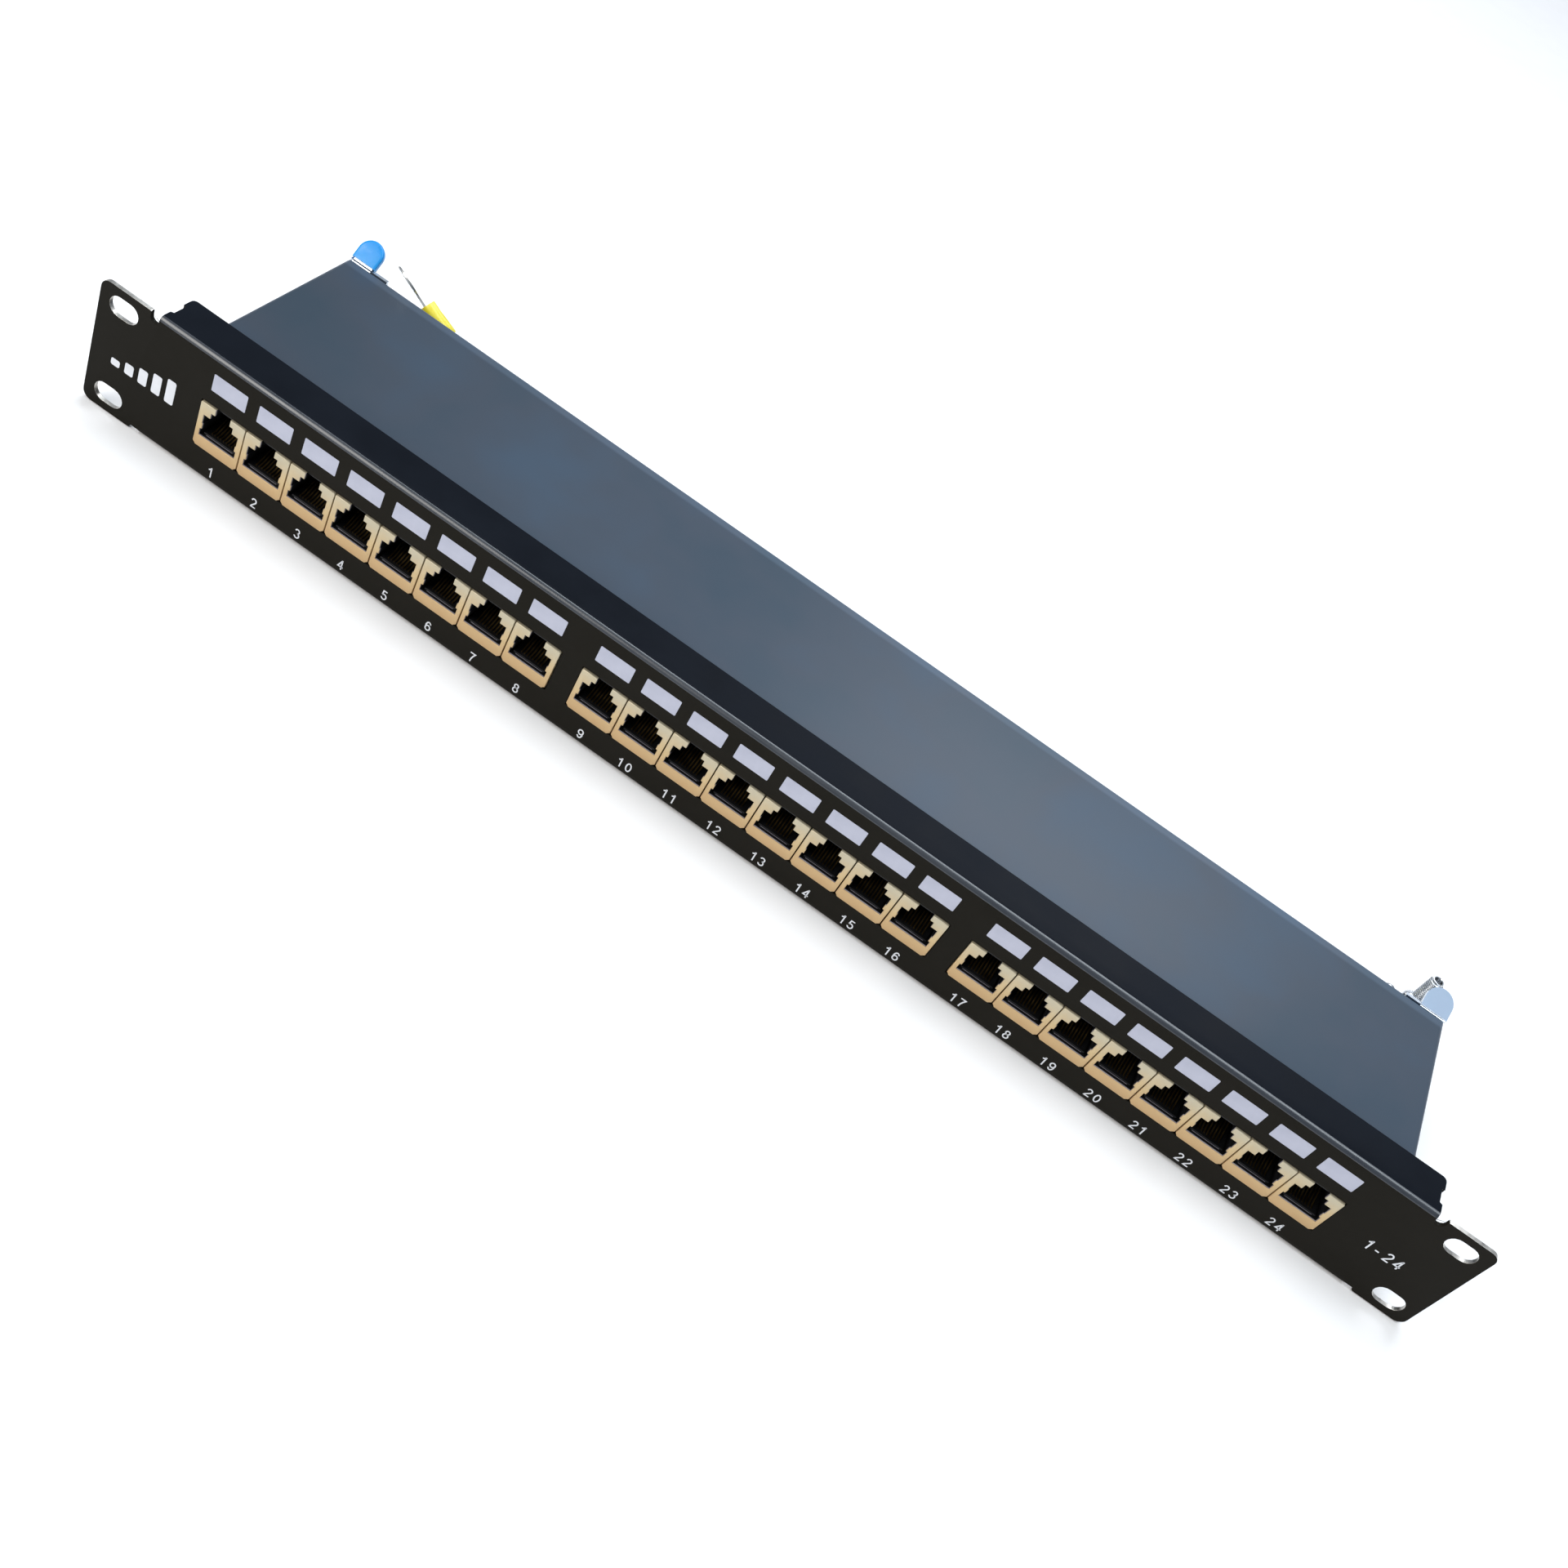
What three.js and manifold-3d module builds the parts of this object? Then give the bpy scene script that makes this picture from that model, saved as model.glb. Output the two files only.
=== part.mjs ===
// 24-port shielded modular-jack patch panel, 1U high, for a 19-inch rack.
// Millimetres, +Z up. The group's origin is the middle of the bottom of its box;
// inside the group, "panel" coordinates are used: X along the panel, Y rearwards from
// the panel's front face, Z up from the panel's mid-height.
import * as THREE from "three";
import { mergeVertices } from "three/addons/utils/BufferGeometryUtils.js";
import Module from "manifold-3d";

const wasm = await Module();
wasm.setup();

// ---------- driving dimensions ----------
const GAP = 0.3; // clearance between neighbouring pieces
const CUT = 2; // how far a cutting tool runs past the face it cuts

const PANEL = {
  width: 482.6, height: 44, sheet: 1.5, bendRadius: 2, flangeDepth: 15,
  flangeHalf: 220.8, earCorner: 3,
};
// Relief notches between the flanges and the ears: the upper one is deep, the lower one shallow.
const NOTCH = { inner: 220.5, outer: 223.7, upper: 18.6, lower: 20.8, earRound: 0.6 };
const RACK_SLOT = { x: 465.1 / 2, z: 31.75 / 2, length: 10.2, height: 6.6 };
const EDGE_RECESS = { y0: 4.6, y1: 10.4, depth: 0.95, run: 0.4 };

const PORTS = 24;
const GROUP = 8;
const PITCH = 16.2;
const GROUP_STEP = 137.1;
const FIRST_PORT_X = -193.8;

const JACK = {
  width: 15.85, z0: -11, z1: 5.1, proud: 0.6, face: 1.8, back: 18, chamfer: 1, roof: 1,
  inset: 0.2, room: 0.1,
};
// Right half of the plug opening, from the bottom up: side wall, guide lug, shoulder, latch notch.
const OPENING = [
  [6.5, -7], [6.5, -4.5], [5.9, -4.5], [5.9, -2.6], [6.2, -2.4],
  [6.2, 0.8], [3.9, 0.8], [3.9, 2.8], [2.6, 2.8],
];
const LATCH_HALF = OPENING.at(-1)[0];

const CONTACT = { half: 5.6, floor: 0.6, front: 0.8, wallFront: 15.2, barBack: 21.9 };
const BOARD = { half: 65.7, y0: 22.2, y1: 23.8, z0: -20.6, z1: 8 };
const LANCE = { inner: 61.8, outer: 65.4, top: -13 }; // the base's tongues behind each board
const IDC = { half: 61, y0: 24.2, y1: 32, portY1: 36, z0: -13, z1: 4, portHalf: 7.2 };

const SHEET = 1; // housing sheet thickness
const BASE = {
  half: 216, z0: -22, wallTop: 8.7, back: 90.8, returnFrom: 193.5, bend: 1.5, corner: 1.8,
};
// The cover starts behind the panel's upper flange, so that it lifts off clear of it.
const COVER = {
  half: 217.5, top: 10, lipBottom: -0.5, front: 15.6, back: 92.1, bend: 1.8, corner: 2.5,
};
const LIP = { front: 2.2, step: 15.6, z0: -20.2 }; // joggled front edge of the base
const BRIDGE = { front: 2.2, back: 15.2 }; // strip that joins the base's side walls over the jacks

const TRAY = {
  sheet: 1.2, y0: 92.4, y1: 118, z0: -19, lipTop: -12, half: 217.2,
  uprightFrom: 193.5, uprightStep: 202.6, uprightTop: 9.7, stepTop: 7.6, tabDrop: 0.6,
};
const LACING = { web: 4, width: 1.8, length: 5, y: 102.5, every: 2 };
const TAB = { x: 213, width: 9.8, length: 9, tilt: 30 }; // right finger tab
const CAPPED_TAB = { x: -212.8, width: 7.2, length: 8.1, tilt: 43 }; // left finger tab, inside its cap
const CAP = { width: 9.2, length: 9.4, start: 0.9, gap: 0.3, wall: 0.5 };

const STUD = { x: 210.2, y: 103.2, r: 2.5, headR: 4, headZ: -8.3, top: 13.5, bore: 1.5, boreDepth: 4 };
const LEDGE = { x0: 204.8, y1: 109.5, z0: -6.2, z1: -5 };
const LUG = {
  z: -4.7, thick: 0.8, ringR: 5.6, holeR: 2.75, neck: 3, reach: 9.8, barrelR: 2.05,
  barrelLength: 5, rise: 1.1,
};
const SLEEVE = { inner: 2.45, outer: 2.65, flare: 3.3, length: 12, overlap: 0.2 };
const WASHER = { z: -3.6, thick: 1, r: 5 };
const NUT = { z: -2.3, thick: 4, acrossFlats: 8 };

const SCREW = { r: 1.5, headR: 2.75, headThick: 1.8, length: 5.5, hole: 1.7 };
const COVER_SCREWS = { y: [26, 76], z: 3 };
const TRAY_SCREWS = [[197.9, 5], [204.6, 6.8], [-204.2, 2.5]];
const RIVET = { r: 1.6, hole: 1.7, headR: 3, headThick: 0.9, x: [-180, -60, 60, 180], y: 9 };

const LEAD_R = 2; // green-and-yellow earth lead
const LEAD_ROUTE = [
  [189.6, 103.2, -3.2], [183, 103.2, -3.4], [175.6, 103.1, -5.6], [168, 102.9, -9.6],
  [159.6, 102.6, -13.4], [150, 102.5, -15.2], [137.1, 102.5, -15.5], [118, 104, -15.5],
  [97, 107.6, -15.5], [75, 110, -15.5], [52, 109, -15.5], [28, 105.2, -15.5], [0, 102.5, -15.5],
  [-24, 100.2, -15.5], [-48, 98.8, -15.5], [-72, 99.2, -15.5], [-94, 101.2, -15.5],
  [-113, 102.5, -15.5], [-129, 102.5, -15.5], [-142, 102.2, -15], [-152.4, 101.5, -13],
  [-161.6, 100.6, -9.4], [-170.4, 99.7, -4.6], [-180, 99, 0.9],
];
const TIES = [137.1, 0, -121];
const TIE = { strap: 1, width: 2.5, inner: 4.8, head: 3.6 };
const FREE_LUG = { at: [-179.2, 99, 0.9], slope: 29.8, roll: 42 };

const ORIGIN_Y = (TRAY.y1 - JACK.proud) / 2; // the middle of the whole object's depth

// ---------- colours ----------
const finish = (color, roughness, metalness) =>
  new THREE.MeshStandardMaterial({ color, roughness, metalness });
const LOOKS = {
  blackPaint: finish(0x1d1d20, 0.45, 0.1),
  coverPaint: finish(0x4d5a69, 0.35, 0.2),
  jackMetal: finish(0xc9ad7d, 0.4, 0.6),
  blackPlastic: finish(0x111113, 0.6, 0),
  board: finish(0x1f5a34, 0.5, 0),
  idc: finish(0x26262a, 0.6, 0),
  zinc: finish(0xb8c0c8, 0.3, 0.9),
  bluePlastic: finish(0x12a0ee, 0.35, 0),
  yellowVinyl: finish(0xf2e04a, 0.5, 0),
  lead: finish(0xb9c938, 0.5, 0),
  tie: finish(0xe6e6e2, 0.5, 0),
};

// ---------- solids ----------
function solid(geometry) {
  const bare = geometry.clone();
  bare.deleteAttribute("normal");
  bare.deleteAttribute("uv");
  const merged = mergeVertices(bare, 1e-4);
  return new wasm.Manifold(new wasm.Mesh({
    numProp: 3,
    vertProperties: new Float32Array(merged.attributes.position.array),
    triVerts: new Uint32Array(merged.index.array),
  }));
}

function geometryOf(body) {
  const made = body.getMesh();
  const geometry = new THREE.BufferGeometry();
  geometry.setAttribute("position", new THREE.BufferAttribute(made.vertProperties, 3));
  geometry.setIndex(new THREE.BufferAttribute(made.triVerts, 1));
  const flat = geometry.toNonIndexed();
  flat.computeVertexNormals();
  return flat;
}

const block = (x0, x1, y0, y1, z0, z1) =>
  solid(new THREE.BoxGeometry(x1 - x0, y1 - y0, z1 - z0)
    .translate((x0 + x1) / 2, (y0 + y1) / 2, (z0 + z1) / 2));

const AXES = {
  x: new THREE.Vector3(1, 0, 0), y: new THREE.Vector3(0, 1, 0), z: new THREE.Vector3(0, 0, 1),
};
// A flat outline pulled along one axis from `from` to `to`.
// along "y": the outline is drawn in X and Z; along "x": in Y and Z; along "z": in X and Y.
function pull(outline, along, from, to) {
  const shape = new THREE.Shape(outline.map(([a, b]) => new THREE.Vector2(a, b)));
  const geometry = new THREE.ExtrudeGeometry(shape, { depth: to - from, bevelEnabled: false });
  const turn = new THREE.Matrix4();
  if (along === "y") {
    turn.makeBasis(AXES.x, AXES.z, AXES.y.clone().negate());
    geometry.applyMatrix4(turn).translate(0, to, 0);
  } else if (along === "x") {
    turn.makeBasis(AXES.y, AXES.z, AXES.x);
    geometry.applyMatrix4(turn).translate(from, 0, 0);
  } else {
    geometry.translate(0, 0, from);
  }
  return solid(geometry);
}

// Points of an arc, angles in degrees.
function arc(cx, cy, r, from, to, steps = 6) {
  return Array.from({ length: steps + 1 }, (_, i) => {
    const a = THREE.MathUtils.degToRad(from + ((to - from) * i) / steps);
    return [cx + r * Math.cos(a), cy + r * Math.sin(a)];
  });
}

// A closed outline, the same left and right, from its upper and lower right quarters. Both are
// given with positive heights, from the middle round to the side.
function fourFold(upper, lower) {
  const half = [...upper, ...lower.map(([a, b]) => [a, -b]).reverse()];
  return [...half, ...half.map(([a, b]) => [-a, b]).reverse()].reverse();
}
const mirrored = (points) => points.map(([a, b]) => [-a, b]).reverse();

function stadium(cx, cy, length, height) {
  const r = height / 2;
  const run = length / 2 - r;
  return [...arc(cx + run, cy, r, -90, 90, 9), ...arc(cx - run, cy, r, 90, 270, 9)];
}

// A round piece turned about Z, from [radius, height] points that start and end on the axis
// or close on themselves.
function turned(profile, segments = 16) {
  const points = profile.map(([r, z]) => new THREE.Vector2(r, z));
  return solid(new THREE.LatheGeometry(points, segments).rotateX(Math.PI / 2));
}
const rod = (r, z0, z1, segments = 16) =>
  turned([[0, z0], [r, z0], [r, z1], [0, z1]], segments);

const root = new THREE.Group();
const panelFrame = new THREE.Group();
panelFrame.position.set(0, -ORIGIN_Y, PANEL.height / 2);
root.add(panelFrame);

function put(name, body, material) {
  const mesh = new THREE.Mesh(geometryOf(body), material);
  mesh.name = name;
  panelFrame.add(mesh);
  return mesh;
}

const portX = (k) =>
  FIRST_PORT_X + Math.floor(k / GROUP) * GROUP_STEP + (k % GROUP) * PITCH;
const groupX = (g) => (portX(g * GROUP) + portX(g * GROUP + GROUP - 1)) / 2;
const GROUPS = ["a", "b", "c"];
const number = (k) => String(k + 1).padStart(2, "0");

// ---------- front panel ----------
function frontPanel() {
  const h = PANEL.height / 2;
  const r = PANEL.bendRadius;
  const t = PANEL.sheet;
  const w = PANEL.width / 2;
  const n = NOTCH;
  const notchR = (n.outer - n.inner) / 2;
  const ear = n.earRound;
  const start = [[0, h - r], [n.inner - 0.4, h - r]];
  const end = [
    ...arc(n.outer + ear, h - ear, ear, 180, 90, 3),
    ...arc(w - PANEL.earCorner, h - PANEL.earCorner, PANEL.earCorner, 90, 0, 6),
  ];
  const upper = arc(n.inner + notchR, n.upper + notchR, notchR, 180, 360, 6);
  const lower = [[n.inner, n.lower], [n.outer - ear / 2, n.lower], [n.outer, n.lower + ear / 2]];
  const face = fourFold([...start, ...upper, ...end], [...start, ...lower, ...end]);
  const channel = [
    [PANEL.flangeDepth, -h], ...arc(r, -h + r, r, 270, 180, 6),
    ...arc(r, h - r, r, 180, 90, 6), [PANEL.flangeDepth, h], [PANEL.flangeDepth, h - t],
    ...arc(r, h - r, r - t, 90, 180, 3), ...arc(r, -h + r, r - t, 180, 270, 3),
    [PANEL.flangeDepth, -h + t],
  ].reverse();
  const f = PANEL.flangeHalf;
  const e = EDGE_RECESS;
  const side = [
    [f, -CUT], [f, e.y0], [f - e.depth, e.y0 + e.run], [f - e.depth, e.y1 - e.run], [f, e.y1],
    ...arc(f - 1.5, PANEL.flangeDepth - 1.5, 1.5, 0, 90, 4),
  ];
  const plan = [...side, ...mirrored(side)];
  let body = pull(channel, "x", -f, f)
    .intersect(pull(plan, "z", -h - CUT, h + CUT))
    .add(pull(face, "y", 0, t));
  for (let g = 0; g < GROUPS.length; g++) {
    const half = (GROUP * PITCH) / 2 + 0.1;
    const x = groupX(g);
    body = body.subtract(
      block(x - half, x + half, -CUT, t + CUT, JACK.z0 - GAP, JACK.z1 + GAP));
  }
  for (const x of [-RACK_SLOT.x, RACK_SLOT.x])
    for (const z of [-RACK_SLOT.z, RACK_SLOT.z])
      body = body.subtract(
        pull(stadium(x, z, RACK_SLOT.length, RACK_SLOT.height), "y", -CUT, t + CUT));
  for (const x of RIVET.x)
    body = body.subtract(rod(RIVET.hole, -h - CUT, -h + CUT * 2, 12).translate([x, RIVET.y, 0]));
  return body;
}

// ---------- jacks ----------
function jackShell() {
  const half = JACK.width / 2;
  const c = JACK.chamfer;
  const faceBack = JACK.face - JACK.proud;
  const right = [
    [half - c, JACK.z0], [half, JACK.z0 + c], [half, JACK.z1 - 0.3], [half - 0.3, JACK.z1],
    [LATCH_HALF, JACK.z1], ...[...OPENING].reverse(),
  ];
  const face = pull([...right, ...mirrored(right)], "y", -JACK.proud, faceBack);
  const w = half - JACK.inset;
  const start = faceBack - 0.5;
  const room = JACK.room;
  const [plugHalf, floor] = OPENING[0];
  const [ledgeHalf, ledgeZ] = OPENING[6];
  const body = block(-w, w, start, JACK.back, JACK.z0 + c, JACK.z1 - JACK.inset)
    .subtract(block(
      -plugHalf - room, plugHalf + room, start - CUT, JACK.back + CUT, floor - room, ledgeZ + room))
    .subtract(block(
      -ledgeHalf - room, ledgeHalf + room, start - CUT, JACK.back + CUT, 0, JACK.z1 - JACK.roof))
    .subtract(block(
      -LATCH_HALF - room, LATCH_HALF + room, start - CUT, faceBack, 0, JACK.z1 + CUT));
  return face.add(body);
}

function contactBlock() {
  const low = OPENING[0][1] + GAP;
  const first = -((GROUP - 1) * PITCH) / 2;
  const last = -first;
  const reach = OPENING[0][0];
  let body = block(
    first - reach, last + reach, JACK.back + GAP, CONTACT.barBack, low - 2, JACK.z1 - 1);
  for (let i = 0; i < GROUP; i++) {
    const x = first + i * PITCH;
    const h = CONTACT.half;
    body = body
      .add(block(x - h, x + h, CONTACT.wallFront, JACK.back + 1, low, OPENING[5][1] - GAP))
      .add(block(x - h, x + h, CONTACT.front, JACK.back + 1, low, low + CONTACT.floor));
  }
  return body;
}

function idcBlock() {
  let body = block(-IDC.half, IDC.half, IDC.y0, IDC.y1, IDC.z0, IDC.z1);
  for (let i = 0; i < GROUP; i++) {
    const x = ((i - (GROUP - 1) / 2) * (2 * IDC.half)) / GROUP;
    body = body.add(
      block(x - IDC.portHalf, x + IDC.portHalf, IDC.y1 - 1, IDC.portY1, IDC.z0 + 1, IDC.z1 - 1));
  }
  return body;
}

// ---------- housing ----------
function chassisBase() {
  const t = SHEET;
  const b = BASE;
  const wall = [
    [-b.half, b.wallTop], ...arc(-b.half + b.bend, b.z0 + b.bend, b.bend, 180, 270, 4),
    ...arc(b.half - b.bend, b.z0 + b.bend, b.bend, 270, 360, 4), [b.half, b.wallTop],
    [b.half - t, b.wallTop], ...arc(b.half - b.bend, b.z0 + b.bend, b.bend - t, 360, 270, 2),
    ...arc(-b.half + b.bend, b.z0 + b.bend, b.bend - t, 270, 180, 2), [-b.half + t, b.wallTop],
  ];
  let body = pull(wall, "y", LIP.step, b.back)
    .add(block(-b.half + t, b.half - t, LIP.front, LIP.step + t, LIP.z0, LIP.z0 + t))
    .add(block(-b.half + t, b.half - t, LIP.step, LIP.step + t, b.z0, LIP.z0 + t))
    .add(block(
      -b.half + t / 2, b.half - t / 2, BRIDGE.front, BRIDGE.back, b.wallTop - t, b.wallTop));
  for (const s of [-1, 1]) {
    const wallX = [s * b.half, s * (b.half - t)].sort((m, n) => m - n);
    const backX = [s * (b.half - t / 2), s * b.returnFrom].sort((m, n) => m - n);
    body = body
      .add(block(...wallX, LIP.front, LIP.step + t, LIP.z0, b.wallTop))
      .add(block(...backX, b.back - t, b.back, b.z0 + t / 2, b.wallTop));
    for (const y of COVER_SCREWS.y)
      body = body.subtract(screwHole("x").translate([s * b.half, y, COVER_SCREWS.z]));
  }
  for (const [x, z] of TRAY_SCREWS) body = body.subtract(screwHole("y").translate([x, b.back, z]));
  for (const x of RIVET.x)
    body = body.subtract(rod(RIVET.hole, b.z0, LIP.z0 + CUT, 12).translate([x, RIVET.y, 0]));
  for (let g = 0; g < GROUPS.length; g++)
    for (const s of [-1, 1]) {
      const lance = [s * LANCE.inner, s * LANCE.outer].sort((m, n) => m - n)
        .map((x) => groupX(g) + x);
      body = body.add(
        block(...lance, BOARD.y1 + GAP, BOARD.y1 + GAP + t, b.z0 + t / 2, LANCE.top));
    }
  const side = [
    [b.half, LIP.front - CUT], ...arc(b.half - b.corner, b.back - b.corner, b.corner, 0, 90, 4),
  ];
  return body.intersect(pull([...side, ...mirrored(side)], "z", b.z0 - CUT, b.wallTop + CUT));
}

// A clearance hole's cutter, centred on the origin, along one axis.
function screwHole(along) {
  const cutter = rod(SCREW.hole, -3, 3, 12);
  return along === "x" ? cutter.rotate([0, 90, 0]) : cutter.rotate([90, 0, 0]);
}

function topCover() {
  const c = COVER;
  const t = SHEET;
  const hull = (inset) => {
    const r = c.bend - inset;
    const w = c.half - inset;
    const top = c.top - inset;
    const back = c.back - inset;
    const low = c.lipBottom - (inset ? CUT : 0);
    const front = c.front - (inset ? CUT : 0);
    const corner = c.corner - inset;
    const across = [
      [w, low], ...arc(w - r, top - r, r, 0, 90, 5),
      ...arc(-w + r, top - r, r, 90, 180, 5), [-w, low],
    ];
    const deep = [[front, low], [back, low], ...arc(back - r, top - r, r, 0, 90, 5), [front, top]];
    const plan = [
      [-w, front], [w, front], ...arc(w - corner, back - corner, corner, 0, 90, 5),
      ...arc(-w + corner, back - corner, corner, 90, 180, 5),
    ];
    return pull(across, "y", front, back)
      .intersect(pull(deep, "x", -w, w))
      .intersect(pull(plan, "z", low, top));
  };
  let body = hull(0).subtract(hull(t));
  const slot = SCREW.hole + 0.1;
  for (const s of [-1, 1])
    for (const y of COVER_SCREWS.y) {
      const [x0, x1] = [s * (c.half - t - 0.4), s * (c.half + CUT)].sort((m, n) => m - n);
      body = body.subtract(
        block(x0, x1, y - slot, y + slot, c.lipBottom - CUT, COVER_SCREWS.z + slot));
    }
  for (const [x, z] of TRAY_SCREWS)
    body = body.subtract(
      block(x - slot, x + slot, c.back - t - 0.4, c.back + CUT, c.lipBottom - CUT, z + slot));
  return body;
}

// ---------- rear tray ----------
// A plate with one round end, lying along +Y from y = start, turned up by `tilt` degrees.
function fingerTab(width, start, length, thick, tilt) {
  const r = width / 2;
  const outline = [
    [-r, start], [r, start], ...arc(0, length - r, r, 0, 180, 12),
  ];
  return pull(outline, "z", -thick / 2, thick / 2).rotate([tilt, 0, 0]);
}
const tabRoot = (tab) => [tab.x, TRAY.y0 + TRAY.sheet / 2, TRAY.uprightTop - TRAY.tabDrop];

function rearTray() {
  const t = TRAY.sheet;
  const T = TRAY;
  let body = block(-T.half, T.half, T.y0, T.y1, T.z0, T.z0 + t)
    .add(block(-T.half, T.half, T.y1 - t, T.y1, T.z0, T.lipTop));
  for (const s of [-1, 1]) {
    const low = [s * T.uprightFrom, s * T.half].sort((m, n) => m - n);
    const high = [s * T.uprightStep, s * T.half].sort((m, n) => m - n);
    body = body
      .add(block(...low, T.y0, T.y0 + t, T.z0, T.stepTop))
      .add(block(...high, T.y0, T.y0 + t, T.z0, T.uprightTop));
  }
  body = body
    .add(fingerTab(TAB.width, -t / 2, TAB.length, t, TAB.tilt).translate(tabRoot(TAB)))
    .add(fingerTab(CAPPED_TAB.width, -t / 2, CAPPED_TAB.length, t, CAPPED_TAB.tilt)
      .translate(tabRoot(CAPPED_TAB)))
    .add(block(LEDGE.x0, T.half, T.y0, LEDGE.y1, LEDGE.z0, LEDGE.z1))
    .subtract(rod(STUD.r + 0.15, LEDGE.z0 - CUT, LEDGE.z1 + CUT).translate([STUD.x, STUD.y, 0]));
  for (const [x, z] of TRAY_SCREWS) body = body.subtract(screwHole("y").translate([x, T.y0, z]));
  const slots = TIES.concat(lacingPlaces());
  for (const x of slots)
    for (const s of [-1, 1]) {
      const y = LACING.y + s * (LACING.web / 2 + LACING.width / 2);
      body = body.subtract(block(
        x - LACING.length / 2, x + LACING.length / 2,
        y - LACING.width / 2, y + LACING.width / 2, T.z0 - CUT, T.z0 + t + CUT));
    }
  return body;
}

// Lacing slots lie behind every other port, except where a tie of the earth lead has its own.
function lacingPlaces() {
  return Array.from({ length: PORTS / LACING.every }, (_, i) => portX(i * LACING.every))
    .filter((x) => TIES.every((tie) => Math.abs(tie - x) > LACING.length + 2));
}

function tabCap() {
  const t = TRAY.sheet;
  const outer = fingerTab(
    CAP.width, CAP.start, CAP.length, t + 2 * (CAP.gap + CAP.wall), CAPPED_TAB.tilt);
  const inner = fingerTab(
    CAPPED_TAB.width + 2 * CAP.gap, CAP.start - CUT, CAPPED_TAB.length + CAP.gap,
    t + 2 * CAP.gap, CAPPED_TAB.tilt);
  return outer.subtract(inner).translate(tabRoot(CAPPED_TAB));
}

// ---------- earth point ----------
function earthStud() {
  const s = STUD;
  return turned([
    [0, s.headZ], [s.headR, s.headZ], [s.headR, LEDGE.z0 - GAP], [s.r, LEDGE.z0 - GAP],
    [s.r, s.top - 0.5], [s.r - 0.5, s.top], [s.bore, s.top], [s.bore, s.top - s.boreDepth],
    [0, s.top - s.boreDepth],
  ], 20).translate([s.x, s.y, 0]);
}

const washer = () => turned([
  [STUD.r + 0.2, WASHER.z], [WASHER.r, WASHER.z], [WASHER.r, WASHER.z + WASHER.thick],
  [STUD.r + 0.2, WASHER.z + WASHER.thick], [STUD.r + 0.2, WASHER.z],
], 20).translate([STUD.x, STUD.y, 0]);

function nut() {
  const corner = NUT.acrossFlats / Math.sqrt(3);
  const hex = arc(0, 0, corner, 30, 330, 5);
  const bevel = turned([
    [0, 0], [corner - 0.7, 0], [corner, 0.7], [corner, NUT.thick - 0.7],
    [corner - 0.7, NUT.thick], [0, NUT.thick],
  ], 24);
  return pull(hex, "z", 0, NUT.thick).intersect(bevel)
    .subtract(rod(STUD.r + 0.08, -CUT, NUT.thick + CUT, 20))
    .translate([STUD.x, STUD.y, NUT.z]);
}

const LUG_AXIS_Z = LUG.thick / 2 + LUG.rise;
const SLEEVE_START = -LUG.reach + SLEEVE.overlap;
// A ring tongue in the XY plane: the ring round the origin, its crimped barrel along -X.
function ringLug() {
  const l = LUG;
  const barrel = rod(l.barrelR, 0, l.barrelLength, 12).rotate([0, -90, 0])
    .translate([-l.reach, 0, LUG_AXIS_Z]);
  return rod(l.ringR, 0, l.thick, 24)
    .add(block(-l.reach - l.barrelLength / 2, 0, -l.neck / 2, l.neck / 2, 0, l.thick))
    .add(barrel)
    .subtract(rod(l.holeR, -CUT, l.thick + CUT, 20));
}

// The vinyl sleeve over a lug's barrel and the first of the lead, along -X from the origin.
function lugSleeve() {
  const s = SLEEVE;
  return turned([
    [s.inner - 0.15, 0], [s.outer, 0], [s.outer + 0.15, s.length * 0.45], [s.flare, s.length],
    [s.inner + 0.2, s.length], [s.inner - 0.15, 0],
  ], 16).rotate([0, -90, 0]);
}

function freeEnd(body) {
  const f = FREE_LUG;
  const toMouth = SLEEVE.length - SLEEVE_START;
  return body.translate([toMouth, 0, -LUG_AXIS_Z]).rotate([f.roll, 0, 0])
    .rotate([0, 0, 180]).rotate([0, f.slope, 0]).translate(f.at);
}

function earthLead() {
  const curve = new THREE.CatmullRomCurve3(
    LEAD_ROUTE.map((p) => new THREE.Vector3(...p)), false, "centripetal");
  const section = new THREE.Shape(arc(0, 0, LEAD_R, 22.5, 337.5, 7)
    .map(([a, b]) => new THREE.Vector2(a, b)));
  return solid(new THREE.ExtrudeGeometry(section, {
    steps: 56, bevelEnabled: false, extrudePath: curve,
  }));
}

function cableTie(x) {
  const half = TIE.inner / 2;
  const y = LACING.y;
  const low = TRAY.z0 - GAP - 0.1;
  const high = LEAD_ROUTE[12][2] + LEAD_R + GAP;
  return block(
    x - TIE.width / 2, x + TIE.width / 2, y - half - TIE.strap, y + half + TIE.strap,
    low - TIE.strap, high + TIE.strap)
    .subtract(block(x - TIE.width, x + TIE.width, y - half, y + half, low, high))
    .add(block(
      x - TIE.head / 2, x + TIE.head / 2, y + half + 0.2, y + half + TIE.head,
      high - TIE.head + TIE.strap, high + TIE.strap));
}

// ---------- fasteners ----------
// A pan-head screw: the head's underside at z = 0, the shank going down.
const panScrew = (length) => turned([
  [0, -length], [SCREW.r, -length], [SCREW.r, 0], [SCREW.headR, 0], [SCREW.headR, 1],
  [SCREW.headR - 0.5, SCREW.headThick - 0.3], [SCREW.headR - 1.3, SCREW.headThick],
  [0, SCREW.headThick],
], 16);

const rivet = () => {
  const under = -PANEL.height / 2 + 0.1;
  const seat = LIP.z0 + SHEET + GAP;
  return turned([
    [0, under], [RIVET.r, under], [RIVET.r, seat], [RIVET.headR, seat],
    [RIVET.headR - 0.8, seat + RIVET.headThick * 0.8], [0, seat + RIVET.headThick],
  ], 12);
};

// ---------- assembly ----------
put("front_panel", frontPanel(), LOOKS.blackPaint);

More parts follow.
